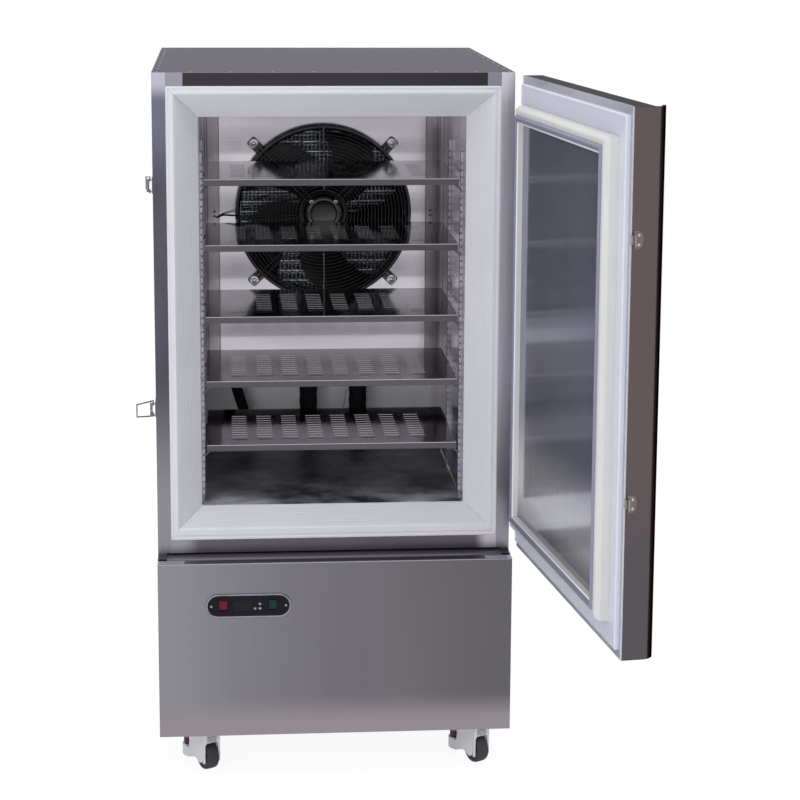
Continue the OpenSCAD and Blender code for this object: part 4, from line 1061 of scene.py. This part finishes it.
def makeRacks():
    low, high = spanOf("shelf_racks")
    wall = chamber[1].x - 1.2
    half = rack["width"] / 2
    bm = bmesh.new()
    for side in (-1, 1):
        for y in rack["postDepths"]:
            addBlock(bm, (side * (wall - 0.2), side * (wall - 1.7)), (y - half, y + half), (low.z, high.z))
            for edge in (y - half + 0.75, y + half - 0.75):  # returned edges of the channel
                addBlock(bm, (side * (wall - 1.6), side * (wall - rack["depth"])), (edge - 0.75, edge + 0.75),
                         (low.z, high.z))
    keepPiece("rackUprights", bm, uprightSteel, "bright_wire", "shelf_racks", bevel=0.3)
    bm = bmesh.new()  # hooks punched in the channel's edges, in a darker wire finish as painted shade, so that they read as dark notches
    addBlock(bm, (-0.4, 4.5), (-half - 0.3, half + 0.3), (-2.5, 2.5))
    rung = meshOf(bm)
    count = int((high.z - low.z - 20) / rack["notchPitch"])
    front, back = rack["postDepths"]
    for name, x in (("left", rack["depth"] - wall - 4.1), ("right", wall - rack["depth"])):
        keepRows(name + "Rungs", rung, count, (0, 0, rack["notchPitch"]), (x, front, low.z + 12), rackWire,
                 "bright_wire", rows=2, rowStep=(0, back - front, 0))
    paths = []
    for level in range(1, 6):
        z = spanOf("shelf_%d" % level)[1].z - 14.5
        hook = z - rack["hookDown"]
        for side in (-1, 1):
            inner, outer = side * rack["wireInner"], side * (wall - 5)
            paths.append([(outer, front - 7, hook), (inner, front - 2, z), (inner, back + 22, z),
                          (outer, back + 28, hook)])
    keepWires("shelfWires", paths, rack["wireRadius"], 5, rackWire, "bright_wire")


# Slotted shelves with a folded lip in front and short turned-down edges

shelf = {
    "sheet": 1.2,
    "lip": 15,
    "hem": 6,
    "edge": 6,
    "columns": 8,
    "rows": 11,
    "columnPitch": 59.5,
    "columnShift": -4,
    "slotLength": 35,
    "slotWidth": 5,
    "frontMargin": 42,
    "backMargin": 66,
}


def addPiercedSheet(bm, xs, ys, low, high):
    # Sheet over a grid of lines, open in every second cell of every second row
    lower, upper = ([[bm.verts.new((x, y, z)) for y in ys] for x in xs] for z in (low, high))

    def solid(i, j):
        return 0 <= i < len(xs) - 1 and 0 <= j < len(ys) - 1 and not (i % 2 and j % 2)

    for i in range(len(xs) - 1):
        for j in range(len(ys) - 1):
            if not solid(i, j):
                continue
            corners = [(i, j), (i + 1, j), (i + 1, j + 1), (i, j + 1)]
            for level in (lower, upper):
                bm.faces.new([level[a][b] for a, b in corners])
            for k, (right, behind) in enumerate(((0, -1), (1, 0), (0, 1), (-1, 0))):
                if not solid(i + right, j + behind):
                    (a, b), (c, d) = corners[k], corners[(k + 1) % 4]
                    bm.faces.new((lower[a][b], lower[c][d], upper[c][d], upper[a][b]))


def makeShelf(level):
    node = "shelf_%d" % level
    low, high = spanOf(node)
    sheet, lip, hem = shelf["sheet"], shelf["lip"], shelf["hem"]
    top, front, y = low.z + lip, low.y, low.y + sheet
    row = (high.y - front - shelf["frontMargin"] - shelf["backMargin"]) / shelf["rows"]
    columns = [(i - (shelf["columns"] - 1) / 2) * shelf["columnPitch"] + shelf["columnShift"]
               for i in range(shelf["columns"])]
    rows = [front + shelf["frontMargin"] + (j + 0.5) * row for j in range(shelf["rows"])]
    half, deep = shelf["slotLength"] / 2, shelf["slotWidth"] / 2
    xs = [low.x, *(middle + edge for middle in columns for edge in (-half, half)), high.x]
    ys = [y, *(middle + edge for middle in rows for edge in (-deep, deep)), high.y]
    bm = bmesh.new()
    addPiercedSheet(bm, xs, ys, top - sheet, top)
    for x in ((low.x, low.x + sheet), (high.x - sheet, high.x)):  # turned-down side edges
        addBlock(bm, x, (y, high.y), (top - shelf["edge"], top - sheet))
    keepPiece("shelfSheet%d" % level, bm, sheetShelf, "shelf_steel", node, node, smooth=30)
    bm = bmesh.new()
    outline = [(y, top), (front + 0.5, top - 0.2), (front, top - 0.9), (front, low.z + 1), (front + 0.6, low.z),
               (front + hem, low.z), (front + hem, low.z + sheet), (y, low.z + sheet), (y, top - sheet)]
    addBar(bm, outline, low.x, high.x, "X")
    keepPiece("shelfLip%d" % level, bm, sheetShelfLip, "shelf_steel", body=node, smooth=40)
    bm = bmesh.new()  # bright fold along the lip's upper edge, a painted highlight
    addBar(bm, arc((front + 0.9, top - 0.9), 1, 0, 345, 12), low.x + 0.5, high.x - 0.5, "X")
    keepPiece("shelfFold%d" % level, bm, brightPlate, "shelf_steel", body=node, smooth=60)


makeRacks()
for level in range(1, 6):
    makeShelf(level)
print("racks and shelves are made")


# Neck between the cabinet and the base: a rolled rail with short stubs at its ends

neck = {
    "endIn": 20,
    "rollRadius": 8,
    "foldRadius": 1.3,
    "patchWidth": 60,
}


def makeNeckRail():
    low, high = spanOf("neck_rail")
    x = halfWidth - neck["endIn"]
    back, roll = frontY + 20, neck["rollRadius"]
    outline = arc((frontY - 20, high.z - roll), roll, 90, 200, 10) + [
        (low.y, low.z + 4), (low.y + 1.5, low.z), (low.y + 3, low.z), (low.y + 3, high.z - 9),
        (frontY - 18, high.z - 3), (back, high.z - 3), (back, high.z)]
    bm, patches = bmesh.new(), bmesh.new()
    addBar(bm, outline, -x, x, "X")
    y, z = base[0].y, base[1].z
    for side in (-1, 1):
        addBlock(bm, (side * (x + 0.4), side * (halfWidth - 2)), (frontY - 19, back), (low.z, high.z - 6.5))
        addBlock(patches, (side * (halfWidth - neck["patchWidth"]), side * (halfWidth - 1)), (y + 4, y + 27),
                 (z - 0.2, z + 0.15))
    keepPiece("neckRail", bm, sheetRail, "stainless_front", "neck_rail", smooth=40)
    bm = bmesh.new()  # rounded fold along the top of the lower front, in a bright finish as a painted highlight
    fold = neck["foldRadius"]
    addBar(bm, arc((y + fold - 0.2, z - fold + 0.2), fold, 0, 345, 14), base[0].x + 0.5, base[1].x - 0.5, "X")
    keepPiece("frontFold", bm, groundPatchAndHighlight, "stainless_front", smooth=60)
    keepPiece("ledgePatches", patches, groundPatchAndHighlight, "stainless_front")  # ground patches on the ledge's ends


makeNeckRail()


# Door, drawn shut and swung open

door = {
    "half": 394,
    "thickness": 43,
    "gap": 13,
    "flange": 17,
    "sheet": 1.5,
    "handleRadius": 26,
    "hem": 6,
    "frameHeight": 9,
    "plugInset": 60,
    "plugHeight": 35,
    "plugSlant": 7,
    "panelInset": 96,
    "gasketInset": 79,
    "gasketWidth": 12,
    "screws": (60, 300, 560, 760, 1000),
}
doorInside = frontY - door["gap"]


def makeDoor():
    z0, z1 = (corner.z for corner in spanOf("door_skin"))
    half, t, r = door["half"], door["sheet"], door["handleRadius"]
    inside = doorInside
    outside, fold = inside - door["thickness"], inside - t
    rect = (-half, half, z0, z1)
    cx = r - half
    bm = bmesh.new()
    # the free edge and the handle are one bent sheet
    outer = [(cx + 1, outside - r + door["hem"]), (cx + 1, outside - r)] + arc((cx, outside), r, 268, 180, 16)
    inner = arc((cx, outside), r - t, 180, 268, 16) + [(cx - 0.6, outside - r + door["hem"])]
    addBar(bm, outer + [(-half, fold), (t - half, fold)] + inner, z0, z1, "Z")
    addBar(bm, [(t - half, outside), (half, outside), (half, fold), (half - t, fold), (half - t, outside + t),
                (t - half, outside + t)], z0, z1, "Z")
    for z in ((z0, z0 + t), (z1 - t, z1)):
        addBlock(bm, (t - half, half - t), (outside + t, fold), z)
    keepOnDoor("doorTray", bm, sheetDoor, "stainless_door", "door_skin", bevel=0.4, smooth=30)

    flange, plug = door["flange"], door["plugInset"]
    keepDoorFrame("doorFlange", ringsOf(rect, inside, ((0, -t), (0, 0), (flange, 0), (flange, -t))), 0.15,
                  sheetDoorFlange, "stainless_door", smooth=30)
    bm = bmesh.new()  # folded edge along the free side, in bright plate as a painted highlight
    addBar(bm, arc((-half + 1.1, inside + 0.6), 1.3, 0, 345, 12), z0 + 1, z1 - 1, "Z")
    keepOnDoor("doorFold", bm, brightPlate, "stainless_door", smooth=60)

    high = door["frameHeight"]
    keepDoorFrame("doorOuterFrame", ringsOf(rect, inside + high, (
        (flange, -high), (flange, -2), (flange + 2, 0), (flange + 6, 0), (flange + 7, -1), (plug - 3, -1),
        (plug, -1.6), (plug, -high))), 0.2, pvcDoor, "door_frame_white", "door_frame", smooth=20)

    high, slant, panel = door["plugHeight"], plug + door["plugSlant"], door["panelInset"]
    top = inside + high
    seal, wide = door["gasketInset"], door["gasketWidth"]
    keepDoorFrame("doorPlugFrame", ringsOf(rect, top, (
        (plug, -high), (plug + 1, -10.5), (plug + 1.8, -9), (slant, -1.4), (slant + 1.5, -0.4), (slant + 3, 0),
        (seal - 0.5, 0), (seal, -1), (seal + wide, -1), (seal + wide + 0.5, 0), (panel, 0), (panel, -high))), 0.2,
        absPlug, "door_plug_cream", "door_plug", smooth=20)
    keepDoorFrame("doorGasket", ringsOf(shrink(rect, seal), top, (  # bellows gasket
        (0, -0.8), (0.4, 2), (2, 4.2), (4, 5), (7, 4.6), (8, 2.4), (9.5, 2.2), (11, 3.4), (wide, 1.5),
        (wide, -0.8))), 0, siliconeSeal, "gasket_rubber", "door_gasket", smooth=50)
    keepDoorFrame("doorBead", ringsOf(shrink(rect, seal + wide + 0.6), top, (  # between the gasket and the panel
        (0, 0), (0.3, 1.2), (1.8, 2), (3.6, 1.4), (4.2, 0), (4.2, -8), (3.4, -8))), 0, beadSeal, "door_plug_cream",
        smooth=50)

    bm = bmesh.new()
    for x in (8 - half, half - 8):
        for rise in door["screws"]:
            addScrew(bm, (x, inside, z0 + rise), 3, 1.4, "Y")
    keepOnDoor("doorScrews", bm, brightPlate, "bright_steel", smooth=50)


makeDoor()
print("door is made")


# Latch keepers on the door's free edge, and the latches on the cabinet's side

latchHeights = [spanOf(side + "_latch_lever")[0].z + 11 for side in ("upper", "lower")]


def makeKeepers():
    x, inside = -door["half"], doorInside
    bm, screws, tabs = bmesh.new(), bmesh.new(), bmesh.new()
    for z in latchHeights:
        bow = [(10 * p - 14, 17.5 * q) for p, q in arc((0, 0), 1, 270, 90, 12)]
        addBar(bm, moved([(-5, -17.5)] + bow + [(-5, 17.5)], inside, z), x - 1.8, x - 0.1, "X")
        addBlock(tabs, (x - 12.5, x - 0.1), (inside - 7, inside - 5), (z - 11, z + 11))
        addBlock(tabs, (x - 2.4, x - 0.1), (inside - 5, inside + 1.5), (z - 9, z + 9))
        for lift in (-9, 9):
            addScrew(screws, (x - 1.7, inside - 15, z + lift), 3, 1.5, "X", -1)
    keepOnDoor("keeperTabs", tabs, zincPlate, "bright_steel", bevel=0.5)
    keepOnDoor("keeperPlates", bm, keeperSteel, "bright_steel", "door_keepers", bevel=0.5)
    keepOnDoor("keeperScrews", screws, brightPlate, "bright_steel", smooth=50)


def makeLatches():
    x, y = -halfWidth, frontY
    plates, screws = bmesh.new(), bmesh.new()
    ear = moved(arc((-9, 10), 5, 90, 270, 10) + [(-1.8, 5), (-1.8, 15)], x, y)
    for z in latchHeights:
        addBar(plates, roundedBox((y + 4, y + 60), (z - 18, z + 18), 5), x - 2, x - 0.1, "X")
        for side in (-1, 1):
            addBar(plates, ear, z + side * 13 - 1, z + side * 13 + 1, "Z")
            addScrew(screws, (x - 2, y + 54, z + side * 12), 3, 1.6, "X", -1)
        addTube(plates, [(x - 9, y + 10, z - 14.3), (x - 9, y + 10, z + 14.3)], 1.5, 12)
    keepPiece("latchPlates", plates, latchChrome, "bright_steel", "latch_bases", bevel=0.3)
    keepPiece("latchScrews", screws, brightPlate, "bright_steel", smooth=50)
    face = moved([(-12, 6), (-12, 51), (-12.4, 54), (-12.8, 56), (-13.5, 56), (-13.5, 10), (-12.8, 7)], x, y)
    cheek = moved([(-12.6, 7), (-5, 7), (-4.6, 9), (-4.6, 25), (-6, 27), (-12.6, 27)], x, y)
    for side, z in zip(("upper", "lower"), latchHeights):
        bm = bmesh.new()
        addBar(bm, face, z - 11, z + 11, "Z")
        for edge in (-11, 9.5):
            addBar(bm, cheek, z + edge, z + edge + 1.5, "Z")
        node = side + "_latch_lever"
        keepPiece(side + "LatchLever", bm, latchChrome, "bright_steel", node, node, bevel=0.3)
        dress(latchChrome, side + "_latch_bail")


makeKeepers()
makeLatches()


# Hinges: knuckles and leaves stay as packed and get their countersunk screws


def makeHingeScrews():
    dress(brightPlate, "hinge_fixed_leaves", "hinge_door_leaves")
    low, high = spanOf("hinge_fixed_leaves")
    for name, keep, x, depths, lifts, radius in (
            ("hingeScrews", keepPiece, halfWidth, (frontY + 18, frontY + 42), (-30, 0, 30), 3.6),
            ("doorHingeScrews", keepOnDoor, door["half"], (doorInside - 32, doorInside - 12), (-32, 32), 3.2)):
        bm = bmesh.new()
        for z in (low.z + 48, high.z - 48):
            for y in depths:
                for lift in lifts:
                    addScrew(bm, (x + 3, y, z + lift), radius, 1.3, "X")
        keep(name, bm, zincPlate, "bright_steel", smooth=50)


makeHingeScrews()
print("latches and hinges are made")


# Control panel on the lower front

control = {
    "length": 194,
    "height": 57,
    "rim": 5,
    "x": -197,
    "z": 307,
    "redX": -254,
    "greenX": -143,
    "screwX": 84,
    "rockerTilt": -6,
    "crownRadius": 16,
}
fasciaFront = base[0].y - 2.5


def pill(length, height):
    r = height / 2
    right = arc((control["x"] + length / 2 - r, control["z"]), r, -90, 90, 20)
    return right + arc((control["x"] - length / 2 + r, control["z"]), r, 90, 270, 20)


def makeControls():
    x, z, front = control["x"], control["z"], fasciaFront
    length, height, rim = control["length"], control["height"], control["rim"]
    bm = bmesh.new()
    section = ((0, 0), (0, 1.6), (0.7, 3.2), (2, 4), (3.3, 3.6), (rim, 2), (rim, 0))
    addLoopRing(bm, [(pill(length - 2 * inset, height - 2 * inset), base[0].y - rise) for inset, rise in section])
    keepPiece("controlRim", bm, rimChrome, "chrome_trim", "control_bezel", smooth=40)

    dress(fasciaAcrylic, "control_fascia")
    bm = bmesh.new()
    addBar(bm, roundedBox((x - 34, x + 8), (z - 11, z + 13), 2), front - 0.5, front + 0.2, "Y")
    keepPiece("displayGlass", bm, displayWindow, "gloss_black", bevel=0.2)
    bm = bmesh.new()
    for side in (-1, 1):
        addScrew(bm, (x + side * control["screwX"], front, z), 3, 1.2, "Y", -1)
    keepPiece("controlScrews", bm, zincPlate, "bright_steel", smooth=50)
    for key in ("set", "up", "down"):
        node = key + "_key"
        low, high = spanOf(node)
        bm = bmesh.new()
        addBar(bm, roundedBox((low.x, high.x), (low.z, high.z), 0.8, 3), low.y, high.y, "Y")
        keepPiece(key + "Key", bm, keyPlastic, "key_plastic", node, node, bevel=0.25)
    makeRocker("red", redLens, control["redX"])
    makeRocker("green", greenLens, control["greenX"])


def makeRocker(shade, material, x):
    # A rocker cap, tipped as it stands, in its own thin frame
    pivot = Vector((x, base[0].y + 4, control["z"] + 2))
    bm = bmesh.new()
    crown = [(6 - math.sqrt(control["crownRadius"] ** 2 - z * z), z)
             for z in (k * 11 / 8 - 11 for k in range(17))]
    addBar(bm, crown + [(8, 10), (8, -10)], -9, 9, "X")
    tilt = Matrix.Rotation(math.radians(control["rockerTilt"]), 4, "X")
    moveNew(bm, 0, Matrix.Translation(pivot) @ tilt)
    node = shade + "_rocker"
    keepPiece(shade + "Rocker", bm, material, shade + "_plastic", node, node, bevel=0.5)
    outer, inner = (roundedBox((x - w, x + w), (pivot.z - h, pivot.z + h), 1.4, 3)
                    for w, h in ((11.8, 14.6), (9.6, 12.4)))
    near, far = fasciaFront - 0.4, fasciaFront + 0.1
    bm = bmesh.new()
    addLoopRing(bm, [(outer, far), (outer, near), (inner, near), (inner, far)])
    keepPiece(shade + "RockerFrame", bm, fasciaAcrylic, "gloss_black", smooth=30)


makeControls()
print("controls are made")


# Casters: housing, wheel, levelling dial and foot at the front, plain rigid ones at the back

caster = {
    "x": 312,
    "frontY": -385,
    "rearY": 407,
    "turn": 30,
    "trail": -38,
    "axleZ": -70.5,
    "wheelRadius": 31.5,
    "wheelWidth": 30,
    "cheek": (17, 22),
    "footReach": 34,
    "dialRadius": 19.5,
    "dialTop": 11,
    "knurls": 20,
    "knurlDepth": 1.3,
}


def addWheel(bm, centre):
    r, w = caster["wheelRadius"], caster["wheelWidth"] / 2
    half = [(4.3, -w), (9, -w), (10, 1.5 - w), (20, 2.2 - w), (22, 0.6 - w), (r - 5, -w), (r - 1.4, 2.4 - w),
            (r - 0.3, 6 - w)]
    addLathe(bm, half + [(r, 0)] + [(size, -x) for size, x in reversed(half)], centre, "X", 64, closed=True)


def makeFrontCaster(side, label):
    place = (Matrix.Translation((side * caster["x"], caster["frontY"], 0))
             @ Matrix.Rotation(math.radians(caster["turn"]), 4, "Z"))
    inner, outer = caster["cheek"]
    axle, reach, z = caster["trail"], caster["footReach"], caster["axleZ"]
    foot = (0, reach, 0)

    def keep(name, bm, node, material, slot, owns=True, bevel=0.0):
        moveNew(bm, 0, place)
        node = label + "_caster_" + node
        keepPiece(label + name, bm, material, slot, node if owns else "", node, bevel, 35)

    bm = bmesh.new()  # one casting: crown, turret, cheeks, an arched rim over the wheel, web and cup
    addBar(bm, roundedBox((-outer, outer), (axle - 20, reach + 4), 9), -34, -8.4, "Z")
    addLathe(bm, [(6.2, -34), (26, -34), (27, -33), (27, -6.4), (25.6, -5.2), (6.2, -5.2)], (0, 0, 0), closed=True)
    addLathe(bm, [(8, -34), (20, -34), (20, -10), (18.6, -8.4), (8, -8.4)], foot, closed=True)
    wall = arc((axle, z), 14, 180, 320, 14) + [
        (-16, -77), (6, -83), (16, -88.5), (reach, -88.5), (reach, -63.4), (12.5, -63.4), (10, -50), (9, -33),
        (axle - 14, -33)]
    for x in (-outer, inner):
        addBar(bm, wall, x, x + outer - inner, "X")
    pin = inner + 0.5
    addLathe(bm, [(0, -pin), (4, -pin), (4, pin), (0, pin)], (0, axle, z), "X", 20)
    addLathe(bm, [(0, -0.5), (10, -0.5), (10, 5), (8, 7.6), (0, 7.6)], (outer, axle, z), "X", 28)
    arch = [(outer, z - 12), (outer, -20), (outer - 5, -10.5), (5 - outer, -10.5), (-outer, -20), (-outer, z - 12),
            (-inner, z - 12), (-inner, -40), (4 - inner, -35), (inner - 4, -35), (inner, -40), (inner, z - 12)]
    addBar(bm, arch, axle - 20, axle - 15.4, "Y")
    addBlock(bm, (-12, 12), (reach - 24, reach - 20), (-88, -33))
    addLathe(bm, [(16.4, -89.6), (22, -89.6), (23, -88), (23, -64), (21.6, -62.2), (16.4, -62.2)], foot,
             closed=True)
    keep("CasterHousing", bm, "fork", casterPaint, "caster_casting", bevel=1.0)

    bm = bmesh.new()
    addWheel(bm, (0, axle, z))
    keep("CasterWheel", bm, "wheel", wheelNylon, "wheel_nylon")

    low, high = spanOf(label + "_caster_dial")
    radius, knurls, drop = caster["dialRadius"], caster["knurls"], caster["dialTop"]
    bm = bmesh.new()
    addLathe(bm, [(0, -1), (10, -1), (12, 0), (radius - 2, 0), (radius - 0.6, -1.4), (radius - 0.6, -drop),
                  (0, -drop)], (0, reach, high.z))
    keep("DialTop", bm, "dial", dialPlastic, "dial_red")
    bm = bmesh.new()
    outline = []
    for k in range(knurls * 2):
        for nudge in (-0.28, 0.28):
            angle = (k + nudge) * math.pi / knurls
            size = radius if k % 2 else radius - caster["knurlDepth"]
            outline.append((size * math.cos(angle), reach + size * math.sin(angle)))
    addBar(bm, outline, low.z, high.z - drop - 0.1, "Z")
    keep("DialGrip", bm, "dial", dialGrip, "dial_red", owns=False)

    low, high = spanOf(label + "_caster_foot")
    tall = high.z - low.z
    bm = bmesh.new()
    addLathe(bm, [(0, 0), (14, 0), (16, 1.5), (16, 9), (14, 11), (7, 12), (6.6, 14), (6.6, tall - 1), (5.6, tall),
                  (0, tall)], (0, reach, low.z), "Z", 40)
    keep("LevelFoot", bm, "foot", footRubber, "foot_rubber")


def makeRearCasters():
    dress(zincPlate, "caster_plates")
    for side, label in ((-1, "left"), (1, "right")):
        bm = bmesh.new()
        addWheel(bm, (side * caster["x"], caster["rearY"], caster["axleZ"]))
        node = "rear_%s_wheel" % label
        keepPiece(label + "RearWheel", bm, wheelNylon, "wheel_nylon", node, node, smooth=35)


makeFrontCaster(-1, "left")
makeFrontCaster(1, "right")
makeRearCasters()
print("casters are made")


# Machinery in the base: condenser with its fan, and the compressor

machine = {
    "condenserX": 150,
    "condenserHalf": 200,
    "condenserDepth": 80,
    "shroudDepth": 40,
    "fanZ": 172.5,
    "throatRadius": 143,
    "finPitch": 4,
    "floor": 2.5,
    "compressor": (-205, 150),
    "compressorRadius": 90,
    "compressorTop": 252.5,
    "bodyTop": 128,
    "beadTop": 140,
    "feetBack": 52,
}


def makeCondenser():
    high = spanOf("condenser")[1]
    x, z, floor, pitch = machine["condenserX"], machine["fanZ"], machine["floor"], machine["finPitch"]
    left, right, top = x - machine["condenserHalf"], x + machine["condenserHalf"], high.z
    y0, y1 = high.y - machine["condenserDepth"], high.y
    shroud = y0 - machine["shroudDepth"]
    bm = bmesh.new()
    addBlock(bm, (0, 0.5), (y0 + 2, y1 - 2), (floor + 12, top - 12))
    keepRows("condenserFins", meshOf(bm), int((right - left - 40) / pitch), (pitch, 0, 0), (left + 20, 0, 0),
             finSheet, "fin_aluminium", "condenser")
    bm = bmesh.new()
    addLathe(bm, [(0, left + 8), (5, left + 8), (5, right - 8), (0, right - 8)], (0, 0, 0), "X", 10)
    keepRows("condenserTubes", meshOf(bm), 11, (0, 0, 28), (0, y0 + 22, floor + 26), finSheet, "fin_aluminium",
             rows=2, rowStep=(0, 34, 0))

    bm = bmesh.new()  # casing round the fins, and a shroud with a round throat
    for near, far in ((shroud + 2, y0), (y0, y1)):
        for xs in ((left, left + 1.5), (right - 1.5, right)):
            addBlock(bm, xs, (near, far), (floor, top))
        for zs in ((floor, floor + 1.5), (top - 1.5, top)):
            addBlock(bm, (left + 1.5, right - 1.5), (near, far), zs)
    addHoledSheet(bm, (left, right, floor, top), (x, z), machine["throatRadius"], shroud, shroud + 2, 72)
    keepPiece("condenserCasing", bm, machineEnamel, "black_enamel", smooth=30)

    bm = bmesh.new()  # fan motor on four arms
    end = machine["shroudDepth"] - 8
    addLathe(bm, [(0, -90), (34, -90), (42, -84), (42, -8), (36, -0.5), (5, -0.5), (5, end), (0, end)],
             (x, shroud, z), "Y")
    for turn, _, _ in quarters():
        start = len(bm.verts)
        addBlock(bm, (38, 145), (shroud - 6, shroud - 0.2), (-6, 6))
        moveNew(bm, start, Matrix.Translation((x, 0, z)) @ Matrix.Rotation(-turn, 4, "Y"))
    keepPiece("condenserMotor", bm, machineEnamel, "black_enamel", bevel=0.6)
    dress(fanAluminium, "condenser_fan")


def makeCompressor():
    x, y = machine["compressor"]
    floor, r, top = machine["floor"], machine["compressorRadius"], machine["compressorTop"]
    body, bead = machine["bodyTop"], machine["beadTop"]
    bm = bmesh.new()
    addLathe(bm, [(0, floor + 19), (r - 14, floor + 20), (r - 4, floor + 27), (r - 1, floor + 40), (r - 1, body),
                  (r, body + 2), (r, bead), (r - 1, bead + 2), (r - 1, top - 62), (r - 6, top - 38),
                  (r - 24, top - 14), (r - 50, top - 2), (0, top)], (x, y, 0), "Z", 56)
    addBar(bm, roundedBox((x - r - 20, x + r + 20), (y - 70, y + 70), 14), floor + 18, floor + 26, "Z")
    addBar(bm, roundedBox((y - 35, y + 35), (floor + 108, floor + 198), 6), x + r - 8, x + r + 40, "X")
    addLathe(bm, [(0, -12), (9, -12), (9, 48), (7, 50), (7, 60), (0, 60)], (x, y, top), "Z", 24)
    keepPiece("compressorShell", bm, machineEnamel, "black_enamel", "compressor", smooth=40)
    bm = bmesh.new()
    for across in (-r - 2, r + 2):
        for back in (-machine["feetBack"], machine["feetBack"]):
            addLathe(bm, [(0, 0), (16, 0), (15, 5), (12, 8), (12, 12), (15, 15), (16, 18), (0, 18)],
                     (x + across, y + back, floor), "Z", 24)
    keepPiece("compressorFeet", bm, footRubber, "foot_rubber")


makeCondenser()
makeCompressor()
print("machinery is made")
